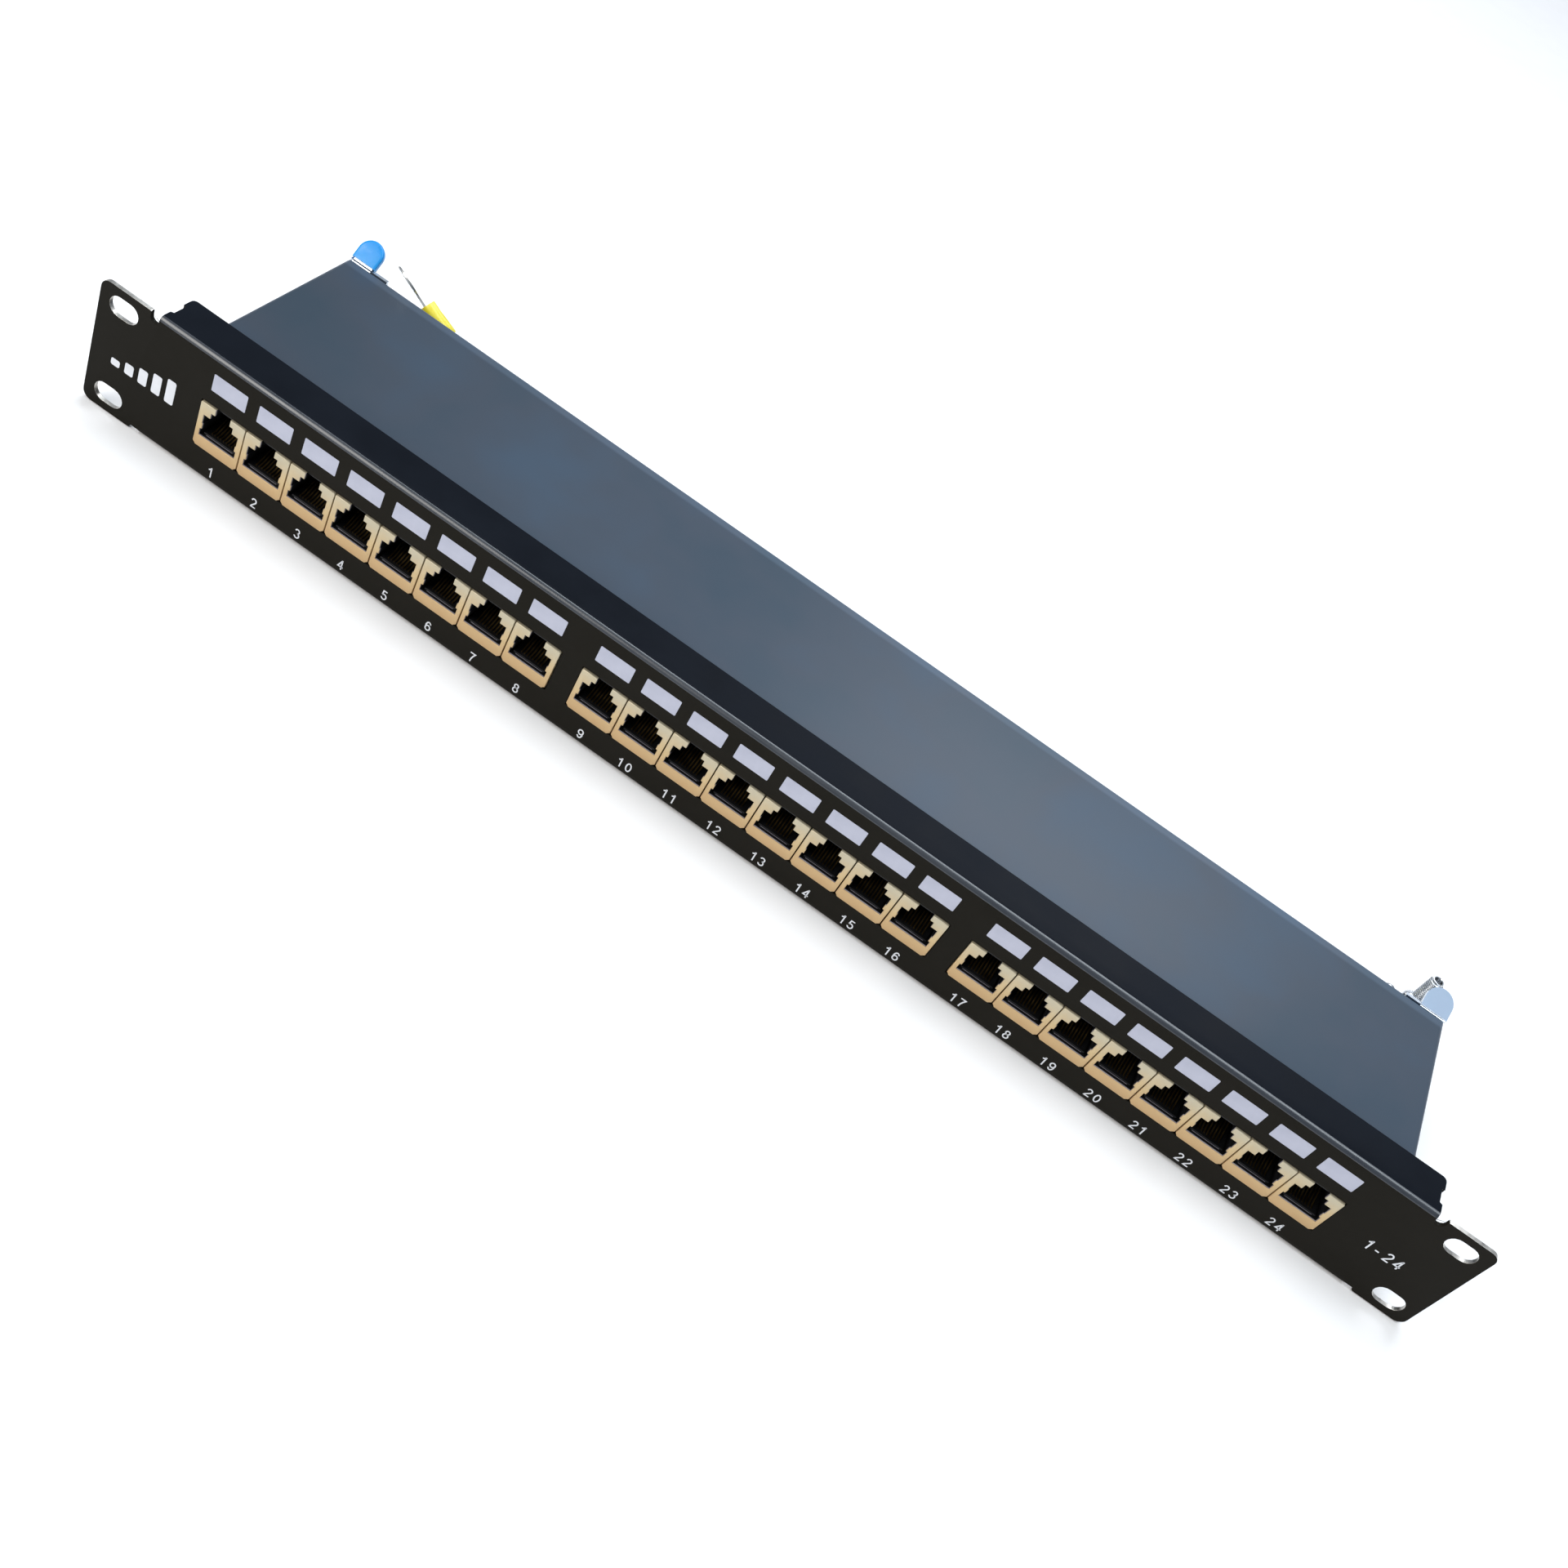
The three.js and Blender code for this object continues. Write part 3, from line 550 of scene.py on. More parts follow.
def earth_lead():
    """A tube with two yellow and two green stripes that turn slowly along it, and its middle line."""
    sides, stripes, twist = 24, 4, math.radians(540)
    line = smooth_route([ORIGIN + Vector(p) for p in LEAD_ROUTE], 8)
    bm = bmesh.new()
    across = Vector((0, 0, 1))
    rings = []
    for i, point in enumerate(line):
        along = (line[min(i + 1, len(line) - 1)] - line[max(i - 1, 0)]).normalized()
        across = (across - along * across.dot(along)).normalized()
        other = along.cross(across)
        start = twist * i / len(line)
        angles = [start + 2 * math.pi * k / sides for k in range(sides)]
        rings.append([
            bm.verts.new(point + LEAD_DIAMETER / 2 * (across * math.cos(a) + other * math.sin(a)))
            for a in angles])
    for low, high in zip(rings, rings[1:]):
        for k in range(sides):
            j = (k + 1) % sides
            made = bm.faces.new([low[k], low[j], high[j], high[k]])
            made.material_index = (k * stripes // sides) % 2
    bm.faces.new(rings[0])
    bm.faces.new(rings[-1])
    bmesh.ops.recalc_face_normals(bm, faces=bm.faces)
    mesh = bpy.data.meshes.new("earth_lead_sheath")
    bm.to_mesh(mesh)
    bm.free()
    for look in ("sheath_yellow", "sheath_green"):
        mesh.materials.append(LOOKS[look])
    shaded(mesh)
    return piece("earth_lead_sheath", mesh, "tray", ["earth_lead"]), line


STUD_X, STUD_Y = 210.2, 103.2
# A ring lug: ring, hole and barrel are radii, and reach is how far off the barrel starts.
LUG = {
    "z": -4.7, "thick": 0.8, "ring": 5.6, "hole": 2.75, "neck": 3.0, "barrel": 2.05, "reach": 9.8,
    "rise": 1.1, "edge": 0.12}
CRIMP = {"from": 1.2, "to": 3.6, "slope": 0.6, "depth": 0.35, "barrel_length": 5}
LUG_AXIS = LUG["thick"] / 2 + LUG["rise"]
SLEEVE = {"inner": 2.45, "outer": 2.65, "flare": 3.3, "length": 12.0, "wall": 0.35, "lip": 0.15}
SLEEVE_START = -LUG["reach"] + 0.2
FREE_LUG = {"at": (-179.2, 99, 0.9), "slope": 29.8, "roll": 42}


def turn(axis, degrees):
    return Matrix.Rotation(math.radians(degrees), 4, axis)


def lug_places():
    """Where the fixed and the free lug go: the ring's centre is each one's own origin."""
    to_mouth = Vector((SLEEVE["length"] - SLEEVE_START, 0, -LUG_AXIS))
    free = (
        Matrix.Translation(FREE_LUG["at"]) @ turn("Y", FREE_LUG["slope"]) @ turn("Z", 180)
        @ turn("X", FREE_LUG["roll"]) @ Matrix.Translation(to_mouth))
    return {"fixed": Matrix.Translation((STUD_X, STUD_Y, LUG["z"])), "free": free}


def lug_shape():
    """A ring tongue in the XY plane with its crimped barrel along -X."""
    top, edge, hole, rim = LUG["thick"], LUG["edge"], LUG["hole"], LUG["ring"]
    ring = lathe([
        (hole, edge), (hole + edge, 0), (rim - edge, 0), (rim, edge), (rim, top - edge),
        (rim - edge, top), (hole + edge, top), (hole, top - edge), (hole, edge)], 64)
    neck = bmesh.new()
    half = LUG["neck"] / 2
    box(neck, -LUG["reach"] - 2.4, -hole - 0.6, -half, half, 0.02, top - 0.02)
    r, pressed, slope = LUG["barrel"], LUG["barrel"] - CRIMP["depth"], CRIMP["slope"]
    barrel = lathe([
        (0, 0), (r, 0), (r, CRIMP["from"]), (pressed, CRIMP["from"] + slope),
        (pressed, CRIMP["to"] - slope), (r, CRIMP["to"]), (r, CRIMP["barrel_length"]),
        (0, CRIMP["barrel_length"])], 32)
    barrel.transform(Matrix.Translation((-LUG["reach"], 0, LUG_AXIS)) @ turn("Y", -90))
    return combined(combined(ring, closed(neck), "UNION"), barrel, "UNION")


def sleeve_shape():
    """The vinyl sleeve over a lug's barrel and the start of the lead, along -X."""
    outer, flare, length, wall = (SLEEVE[k] for k in ("outer", "flare", "length", "wall"))
    lip, inside = SLEEVE["lip"], SLEEVE["inner"] - SLEEVE["lip"]
    middle = length * 0.45
    made = lathe([
        (inside, lip), (SLEEVE["inner"], 0), (outer - 0.1, 0), (outer, 0.2),
        (outer + 0.05, middle * 0.7), (outer + 0.2, middle), (flare - 0.2, middle * 1.6),
        (flare, length - 0.25), (flare - lip, length), (flare - wall, length),
        (flare - wall - 0.1, length - 0.2), (inside, middle), (inside, lip)], 48)
    made.transform(Matrix.Translation((SLEEVE_START, 0, LUG_AXIS)) @ turn("Y", -90))
    return made


def lead_and_lugs():
    lead, line = earth_lead()
    for side, place in lug_places().items():
        for what, shape, look, slot in (
            ("lug", lug_shape, "tinned_copper", "tinned_copper"),
            ("lug_sleeve", sleeve_shape, "yellow_vinyl", "yellow_sleeve"),
        ):
            bm = shape()
            bm.transform(place)
            name = f"{side}_{what}"
            mesh = mesh_of(name + "_made", bm, [look])
            piece(name + "_made", mesh, "tray", [name])


# ---------- jacks ----------
PORTS = [f"{k + 1:02d}" for k in range(24)]
GROUPS = {"a": PORTS[:8], "b": PORTS[8:16], "c": PORTS[16:]}
shell_low, shell_high = span("jack_shell_01")
JACK_HALF = (shell_high.x - shell_low.x) / 2
# Right half of the plug opening, from the floor up: side wall, guide lug, shoulder, latch notch.
OPENING = [
    (6.5, -7), (6.5, -4.5), (5.9, -4.5), (5.9, -2.6), (6.2, -2.4), (6.2, 0.8), (3.9, 0.8),
    (3.9, 2.8), (2.6, 2.8)]
LATCH_HALF = OPENING[-1][0]
CAVITY_ROOF = 4.1
# The sill on the floor of the opening, a pale strip that is a painted highlight on the floor's front edge,
# and the face plate with the shield behind it.
PAINTED_HIGHLIGHT_SILL = {"half": 4.8, "y0": 1.0, "y1": 1.3, "z0": -7.05, "z1": -6.8}
PLATE = {"lip": 0.0, "back": 1.2, "chamfer": 1.0, "corner": 0.3, "edge": 0.22}
SHIELD = {"step": 0.2, "gap": 0.01}


def port_x(port):
    low, high = span("jack_shell_" + port)
    return (low.x + high.x) / 2


def jack_mesh():
    """One jack about x = 0: tan face plate, a lip of pale grey that is painted reflection, a sill that is
    a painted highlight, black lining, shield behind.
    """
    tan, painted_sheen, black, shield = range(4)
    bottom, top, front, back = shell_low.z, shell_high.z, shell_low.y, shell_high.y
    c, r = PLATE["chamfer"], PLATE["corner"]
    rim = [
        (JACK_HALF - c, bottom), (JACK_HALF, bottom + c), (JACK_HALF, top - r),
        (JACK_HALF - r, top), (LATCH_HALF, top)]
    hole = [*reversed(OPENING)]
    bm = bmesh.new()
    outline = rim + hole
    both = outline + mirrored(outline)
    face(bm, [(x, front, z) for x, z in both], tan)
    face(bm, [(x, PLATE["back"], z) for x, z in both], black)
    outer = mirrored(rim) + rim
    strip(bm, outer, front, PLATE["back"], tan, loop=False)
    inner = rim[-1:] + hole + mirrored(hole) + mirrored(rim[-1:])
    # The front of the opening's walls: painted reflection.
    strip(bm, inner, front, PLATE["lip"], painted_sheen, loop=False)
    strip(bm, inner, PLATE["lip"], PLATE["back"], black, loop=False)
    closed(bm)
    front_edges = [
        e for e in bm.edges
        if all(abs(v.co.y - front) < SAME for v in e.verts) and e.calc_face_angle(0) > SHARP]
    bmesh.ops.bevel(
        bm, geom=front_edges, offset=PLATE["edge"], offset_type="OFFSET", segments=3,
        affect="EDGES", profile=0.5, clamp_overlap=True)
    half = JACK_HALF - SHIELD["step"]
    low, high = bottom + c, top - SHIELD["step"]
    start = PLATE["back"] + SHIELD["gap"]
    cavity = [(0, CAVITY_ROOF), (LATCH_HALF, CAVITY_ROOF), *hole, (0, OPENING[0][1])]
    body = cavity + [(0, low), (half, low), (half, high), (0, high)]
    for side in (1, -1):
        for y in (start, back):
            face(bm, [(side * x, y, z) for x, z in body], black if y == start else shield)
    strip(bm, cavity + mirrored(cavity), start, back, black)
    strip(bm, [(-half, low), (half, low), (half, high), (-half, high)], start, back, shield)
    # A pale strip across the floor of the opening: a painted highlight.
    box(bm, -PAINTED_HIGHLIGHT_SILL["half"], PAINTED_HIGHLIGHT_SILL["half"], PAINTED_HIGHLIGHT_SILL["y0"], PAINTED_HIGHLIGHT_SILL["y1"], PAINTED_HIGHLIGHT_SILL["z0"], PAINTED_HIGHLIGHT_SILL["z1"], painted_sheen)
    return mesh_of("jack", closed(bm), ["jack_metal", "lip", "black_plastic", "shield"])


CONTACTS = {"count": 8, "pitch": 1.02, "width": 0.4, "thick": 0.2}
# A contact's line in (y, z): out of the floor, up under the plug, down behind.
CONTACT_LINE = [
    (2.0, -6.0), (3.2, -5.9), (5.0, -5.1), (8.2, -3.4), (10.2, -2.7), (11.6, -2.9), (15.4, -4.2)]


def contact_springs(letter, ports):
    """The sprung contacts of a group of eight jacks."""
    bm = bmesh.new()
    half, thick = CONTACTS["width"] / 2, CONTACTS["thick"]
    for port in ports:
        for i in range(CONTACTS["count"]):
            x = port_x(port) + (i - (CONTACTS["count"] - 1) / 2) * CONTACTS["pitch"]
            rings = [
                [(x - half, y, z), (x + half, y, z), (x + half, y, z + thick), (x - half, y, z + thick)]
                for y, z in CONTACT_LINE]
            for low, high in zip(rings, rings[1:]):
                for k in range(4):
                    j = (k + 1) % 4
                    face(bm, [low[k], low[j], high[j], high[k]])
            face(bm, rings[0])
            face(bm, rings[-1])
    # The contacts' darkened gold is painted shade.
    piece("contact_springs_" + letter, mesh_of("contact_springs", closed(bm), ["gold_with_painted_shade"]))


def jacks():
    mesh = jack_mesh()
    for port in PORTS:
        piece(
            "jack_" + port, mesh, nodes=["jack_shell_" + port],
            offset=(port_x(port), 0, 0))
    for letter, ports in GROUPS.items():
        contact_springs(letter, ports)


# ---------- print on the panel ----------
PRINT = 0.05  # how far print stands off the paint
LABEL = {"width": 12.0, "height": 6.0, "z": 13.2, "corner": 0.35}
# A numeral's width, advance and stroke are shares of its height.
NUMBER = {"height": 3.7, "z": -17.75, "width": 0.56, "advance": 0.8, "stroke": 0.118}
RANGE = {"text": "1-24", "height": 4.2, "x": 220.5, "z": -2.4}
MARK = {
    "x": -222.3, "z": -4.3, "bars": 5, "pitch": 4.9, "width": 3.1, "lowest": 2.4, "rise": 1.5,
    "corner": 0.6}


def labels():
    """A white field over each jack."""
    bm = bmesh.new()
    outline = rounded_rectangle(0, LABEL["z"], LABEL["width"], LABEL["height"], LABEL["corner"])
    plate(bm, outline, -PRINT, 0)
    mesh = mesh_of("label", closed(bm), ["print"])
    for port in PORTS:
        piece("label_" + port, mesh, offset=(port_x(port), 0, 0))


# The strokes' middle lines of each numeral, for a height of 1.
STROKES = {
    "0": [bow(0.28, 0.5, 0.21, 0.43, 0, 360, 28)],
    "1": [[(0.09, 0.73), (0.22, 0.78), (0.31, 0.93)], [(0.34, 0), (0.34, 1)]],
    "2": [[*bow(0.28, 0.7, 0.2, 0.23, 170, -35), (0.12, 0.17), (0.08, 0.07), (0.51, 0.07)]],
    "3": [bow(0.27, 0.725, 0.19, 0.205, 165, -85), bow(0.27, 0.3, 0.215, 0.23, 85, -165)],
    "4": [[(0.39, 0), (0.39, 0.99)], [(0.37, 0.93), (0.06, 0.28), (0.54, 0.28)]],
    "5": [[(0.48, 0.93), (0.15, 0.93), (0.1, 0.5)], bow(0.27, 0.33, 0.22, 0.26, 140, -160)],
    "6": [bow(0.28, 0.32, 0.21, 0.25, 0, 360, 24), bow(0.29, 0.5, 0.22, 0.43, 35, 180)],
    "7": [[(0.04, 0.93), (0.5, 0.93), (0.35, 0.62), (0.26, 0.34), (0.22, 0)]],
    "8": [bow(0.28, 0.735, 0.175, 0.195, 0, 360, 24), bow(0.28, 0.3, 0.21, 0.23, 0, 360, 24)],
    "9": [bow(0.28, 0.68, 0.21, 0.25, 0, 360, 24), bow(0.27, 0.5, 0.22, 0.43, 215, 360)],
    "-": [[(0.06, 0.38), (0.36, 0.38)]],
}


def ribbon(line, width):
    """The two edges of a stroke of one width along a line."""
    ends_meet = (Vector(line[0]) - Vector(line[-1])).length < SAME
    sides = ([], [])
    for i, point in enumerate(line):
        before = line[i - 1] if i else (line[-2] if ends_meet else point)
        after = line[i + 1] if i + 1 < len(line) else (line[1] if ends_meet else point)
        arrive = (Vector(point) - Vector(before)).normalized()
        leave = (Vector(after) - Vector(point)).normalized()
        across = Vector((-(arrive + leave).y, (arrive + leave).x)).normalized()
        square = Vector((-leave.y, leave.x)) if leave.length else Vector((-arrive.y, arrive.x))
        reach = width / 2 / max(across.dot(square), 0.5)
        for side, way in zip(sides, (1, -1)):
            side.append(Vector(point) + across * reach * way)
    return sides


def numeral(name, text, height, x, z):
    """Plain stroke-built numerals, printed on the panel with their middle at x and z."""
    bm = bmesh.new()
    begin = -(NUMBER["advance"] * (len(text) - 1) + NUMBER["width"]) / 2
    for place, sign in enumerate(text):
        shift = begin + place * NUMBER["advance"]
        for line in STROKES[sign]:
            edges = [
                [(x + (a + shift) * height, z + (b - 0.5) * height) for a, b in side]
                for side in ribbon(line, NUMBER["stroke"])]
            cuts = list(zip(*edges))
            for (left_a, right_a), (left_b, right_b) in zip(cuts, cuts[1:]):
                plate(bm, [left_a, right_a, right_b, left_b], -PRINT, 0)
    bmesh.ops.recalc_face_normals(bm, faces=bm.faces)
    piece(name, mesh_of(name, bm, ["numerals"]))


def printing():
    labels()
    for port in PORTS:
        numeral("number_" + port, str(int(port)), NUMBER["height"], port_x(port), NUMBER["z"])
    numeral("port_range", RANGE["text"], RANGE["height"], RANGE["x"], RANGE["z"])
    bm = bmesh.new()
    for i in range(MARK["bars"]):
        x = MARK["x"] + (i - (MARK["bars"] - 1) / 2) * MARK["pitch"]
        height = MARK["lowest"] + MARK["rise"] * i
        outline = rounded_rectangle(x, MARK["z"] + height / 2, MARK["width"], height, MARK["corner"])
        plate(bm, outline, -PRINT, 0)
    piece("rising_bars_mark", mesh_of("rising_bars_mark", closed(bm), ["numerals"]))


# ---------- punch-down blocks ----------
IDC = {"pitch": 15.25, "half": 7.1, "y0": 24.2, "shelf": 30.5, "back": 36.0, "z0": -13.0, "z1": 4.0}
SLOTS = 4
SLOT_PITCH = (2 * IDC["half"] - 0.8) / SLOTS
# Two rows of teeth, each inset from the block's edge, with a narrower ridge on each tooth.
TEETH = {"inset": 0.3, "height": 5.3, "half": 0.31 * SLOT_PITCH, "back": 1.0, "margin": 0.05}
RIDGE = {"y0": 1.2, "y1": 0.1, "narrower": 0.3, "shorter": 0.5}
BLADE = {"offset": 0.32, "half": 0.12, "back": 1.6, "shorter": 1.2}
PAIR_MARK = {"half": 0.42 * SLOT_PITCH, "near": 0.2, "far": 2.3, "thick": 0.15}
SINK = 0.2  # how far teeth and blades reach into the shelf


def slot_places(x):
    return [x + (k - (SLOTS - 1) / 2) * SLOT_PITCH for k in range(SLOTS)]


def tooth_row(bm, x, low, high):
    """The teeth of one row, between and beside the slots."""
    left, right = x - IDC["half"] + TEETH["margin"], x + IDC["half"] - TEETH["margin"]
    for k in range(SLOTS + 1):
        middle = x + (k - SLOTS / 2) * SLOT_PITCH
        x0, x1 = max(middle - TEETH["half"], left), min(middle + TEETH["half"], right)
        box(bm, x0, x1, IDC["shelf"] - SINK, IDC["back"] - TEETH["back"], low, high)
        box(
            bm, x0 + RIDGE["narrower"], x1 - RIDGE["narrower"], IDC["back"] - RIDGE["y0"],
            IDC["back"] - RIDGE["y1"], low + RIDGE["shorter"], high - RIDGE["shorter"])


def blades(bm, x, low, high, look):
    """The forked blade in each slot of one row."""
    for middle in slot_places(x):
        for side in (-BLADE["offset"], BLADE["offset"]):
            box(
                bm, middle + side - BLADE["half"], middle + side + BLADE["half"],
                IDC["shelf"] - SINK, IDC["back"] - BLADE["back"], low + BLADE["shorter"],
                high - BLADE["shorter"], look)


def pair_marks(bm, x, first_look):
    """Two marks of each pair's colour on the shelf between the rows."""
    middle, near, far = (IDC["z0"] + IDC["z1"]) / 2, PAIR_MARK["near"], PAIR_MARK["far"]
    for k, place in enumerate(slot_places(x)):
        for z0, z1 in ((middle - far, middle - near), (middle + near, middle + far)):
            box(
                bm, place - PAIR_MARK["half"], place + PAIR_MARK["half"], IDC["shelf"] - 0.1,
                IDC["shelf"] + PAIR_MARK["thick"], z0, z1, first_look + k)


def punch_down_row(letter, ports):
    """Eight punch-down blocks: teeth above and below, a blade in each slot, pair colours between."""
    bm = bmesh.new()
    row_middle = (port_x(ports[0]) + port_x(ports[-1])) / 2
    inset, height = TEETH["inset"], TEETH["height"]
    lower, upper = IDC["z0"] + inset, IDC["z1"] - inset
    for i in range(len(ports)):
        x = row_middle + (i - (len(ports) - 1) / 2) * IDC["pitch"]
        box(bm, x - IDC["half"], x + IDC["half"], IDC["y0"], IDC["shelf"], IDC["z0"], IDC["z1"])
        for low, high in ((lower, lower + height), (upper - height, upper)):
            tooth_row(bm, x, low, high)
            blades(bm, x, low, high, 1)
        pair_marks(bm, x, 2)
    mesh = mesh_of("punch_down_" + letter, closed(bm), ["idc_plastic", "tinned_copper", *PAIR_TONES])
    piece("punch_down_" + letter, mesh, nodes=["idc_block_" + letter], edge=0.12)


# ---------- fasteners ----------
SCREW = {
    "r": 1.5, "head": 2.75, "rim": 0.75, "thick": 1.8, "length": 5.5, "pitch": 0.5, "depth": 0.26}
CROSS = {"reach": 1.35, "half": 0.33, "floor": 0.7}


def screw_shape():
    """A pan-head screw with a cross recess: the head's underside at z = 0, the shank downwards."""
    wide, rim, top = SCREW["head"], SCREW["rim"], SCREW["thick"]
    angles = [math.radians(d) for d in range(0, 90, 15)]
    dome = [(wide * math.cos(a), rim + (top - rim) * math.sin(a)) for a in angles]
    head = lathe([(0, 0), (wide - 0.1, 0), (wide, 0.12), *dome, (0, top)])
    reach, half, floor_z = CROSS["reach"], CROSS["half"], CROSS["floor"]
    bars = (bmesh.new(), bmesh.new())
    box(bars[0], -reach, reach, -half, half, floor_z, top + 1)
    box(bars[1], -half, half, -reach, reach, floor_z - 0.1, top + 1)
    recess = combined(closed(bars[0]), closed(bars[1]), "UNION")
    head = combined(head, recess, "DIFFERENCE")
    ends = thread(head, SCREW["r"], SCREW["depth"], SCREW["pitch"], -SCREW["length"], -0.01)
    for ring in ends:
        head.faces.new(ring)
    bmesh.ops.recalc_face_normals(head, faces=head.faces)
    return head


def screws():
    """Each screw's node box gives its axis and the side that its head is on."""
    for side, way in (("left", -1), ("right", 1)):
        for i in (1, 2):
            node = f"cover_screw_{side}_{i}"
            low, high = span(node)
            top = low.x if way < 0 else high.x
            seat = Vector((top - way * SCREW["thick"], (low.y + high.y) / 2, (low.z + high.z) / 2))
            put_screw(node, seat, turn("Y", way * 90), "panel")
    for i in (1, 2, 3):
        node = f"tray_screw_{i}"
        low, high = span(node)
        seat = Vector(((low.x + high.x) / 2, high.y - SCREW["thick"], (low.z + high.z) / 2))
        put_screw(node, seat, turn("X", -90), "tray")


def put_screw(node, seat, rotation, body):
    bm = screw_shape()
    bm.transform(Matrix.Translation(seat) @ rotation)
    piece(node + "_made", mesh_of(node, bm, ["zinc_turned"]), body, [node])


STUD = {
    "r": 2.5, "pitch": 0.8, "depth": 0.46, "bore": 1.5, "bore_depth": 4.0, "tip": 0.4,
    "head": 4.0, "head_thick": 1.8}


def earth_stud():
    """An M5 stud with a real thread and a hollow end, its round head under the ledge."""
    low, high = span("earth_stud")
    foot, top = low.z, high.z
    seat, thread_end = foot + STUD["head_thick"], top - STUD["tip"]
    core, bore, wide = STUD["r"] - STUD["depth"], STUD["bore"], STUD["head"]
    bore_end = top - STUD["bore_depth"]
    bm = bmesh.new()
    thread(bm, STUD["r"], STUD["depth"], STUD["pitch"], seat, thread_end, 40, 8)
    tip = lathe([
        (core, thread_end), (core - 0.12, top - 0.05), (core - 0.2, top), (bore + 0.1, top),
        (bore, top - 0.12), (bore, bore_end), (0, bore_end - 0.6)])
    head = lathe([
        (0, foot), (wide - 0.3, foot), (wide, foot + 0.3), (wide, seat - 0.15), (wide - 0.15, seat),
        (core, seat)])
    for part in (tip, head):
        scratch = bpy.data.meshes.new("scratch")
        part.to_mesh(scratch)
        part.free()
        bm.from_mesh(scratch)
        bpy.data.meshes.remove(scratch)
    closed(bm)
    bm.transform(Matrix.Translation((STUD_X, STUD_Y, 0)))
    piece("earth_stud_threaded", mesh_of("earth_stud", bm, ["zinc_turned"]), "tray", ["earth_stud"])


# ---------- finger-tab cap and lead ties ----------
TAB_ROOT = (-212.8, 93.0, 9.1)
CAP = {"width": 9.2, "length": 9.4, "start": 0.9, "thick": 2.8, "tilt": 43, "edge": 0.85}
TAB = {"width": 7.8, "length": 8.4, "thick": 1.8}


def tongue(width, start, end, thick):
    """A plate in the XY plane with one round end, from y = start to y = end."""
    r = width / 2
    outline = [(-r, start), (r, start), *arc(0, end - r, r, 0, 180, 24)]
    bm = bmesh.new()
    for z in (-thick / 2, thick / 2):
        face(bm, [(x, y, z) for x, y in outline])
    for (xa, ya), (xb, yb) in zip(outline, outline[1:] + outline[:1]):
        face(bm, [(xa, ya, -thick / 2), (xb, yb, -thick / 2), (xb, yb, thick / 2), (xa, ya, thick / 2)])
    return closed(bm)


def tab_cap():
    """The vinyl cap, hollow for the left finger tab."""
    bm = tongue(CAP["width"], CAP["start"], CAP["length"], CAP["thick"])
    rim = [
        e for e in bm.edges
        if e.calc_face_angle(0) > SHARP and max(v.co.y for v in e.verts) > CAP["start"] + 0.1]
    bmesh.ops.bevel(
        bm, geom=rim, offset=CAP["edge"], offset_type="OFFSET", segments=5, affect="EDGES", profile=0.5,
        clamp_overlap=True)
    room = tongue(TAB["width"], CAP["start"] - 2, TAB["length"], TAB["thick"])
    bm = combined(bm, room, "DIFFERENCE")
    bm.transform(Matrix.Translation(TAB_ROOT) @ turn("X", CAP["tilt"]))
    piece("vinyl_tab_cap", mesh_of("tab_cap", bm, ["blue_vinyl"]), "tray", ["tab_cap"])


TIE = {"width": 2.5, "strap": 0.9, "corner": 1.3, "inner_corner": 0.7, "head": 3.4, "head_depth": 2.6}
TAIL = {"y0": 1.6, "y1": 0.7, "thick": 0.2, "narrower": 0.1}
RIBS = {"count": 5, "from": 1.6, "pitch": 0.8, "height": 0.35, "narrower": 0.3}


def lead_tie(node):
    """A cable tie: a ribbed strap with round corners through the tray, its head and cut tail."""
    low, high = span(node)
    x, z = (low.x + high.x) / 2, (low.z + high.z) / 2
    half, thick = TIE["width"] / 2, TIE["strap"]
    y0, y1 = low.y, high.y - TIE["head_depth"]
    middle, width, height = (y0 + y1) / 2, y1 - y0, high.z - low.z
    outer = rounded_rectangle(middle, z, width, height, TIE["corner"])
    inner = rounded_rectangle(middle, z, width - 2 * thick, height - 2 * thick, TIE["inner_corner"])
    bm = bmesh.new()
    for side in (-half, half):
        for k in range(len(outer)):
            j = (k + 1) % len(outer)
            face(bm, [(x + side, *point) for point in (outer[k], outer[j], inner[j], inner[k])])
    for loop in (outer, inner):
        for a, b in zip(loop, loop[1:] + loop[:1]):
            face(bm, [(x - half, *a), (x + half, *a), (x + half, *b), (x - half, *b)])
    closed(bm)
    head = TIE["head"]
    box(bm, x - head / 2, x + head / 2, y1 - 0.1, high.y, high.z - head, high.z - 0.05)
    reach = half - TAIL["narrower"]
    box(bm, x - reach, x + reach, high.y - TAIL["y0"], high.y - TAIL["y1"], high.z - TAIL["thick"], high.z)
    reach = half - RIBS["narrower"]
    for k in range(RIBS["count"]):
        foot = low.z + RIBS["from"] + k * RIBS["pitch"]
        box(bm, x - reach, x + reach, y0 - 0.02, y0 + 0.2, foot, foot + RIBS["height"])
    piece(node + "_made", mesh_of(node, closed(bm), ["nylon"]), "tray", [node], edge=0.15)


# ---------- CAD nodes that stay ----------
# Each kept node's look and the width of its broken edges.
KEPT = {
    "front_panel": ("panel_paint", 0.12), "chassis_base": ("panel_paint", 0.12),
    "top_cover": ("cover_paint", 0.14), "rear_tray": ("zinc", 0),
    "earth_washer": ("zinc_turned", 0.12), "earth_nut": ("zinc_turned", 0.1)}
KEPT_ROWS = {"contact_block": ("black_plastic", 0.1), "circuit_board": ("board", 0.15)}
RIVETS = [f"base_rivet_{i}" for i in (1, 2, 3, 4)]
FLANGE_START = 5
RECESS = {"reach": 1.4, "y0": 4.5, "y1": 10.5}
EAR = {"from": 223.9, "top": 20.5, "back": 2}
RACK_SLOT = {"x": 232.55, "z": 15.875, "half_x": 5.2, "half_z": 3.4}
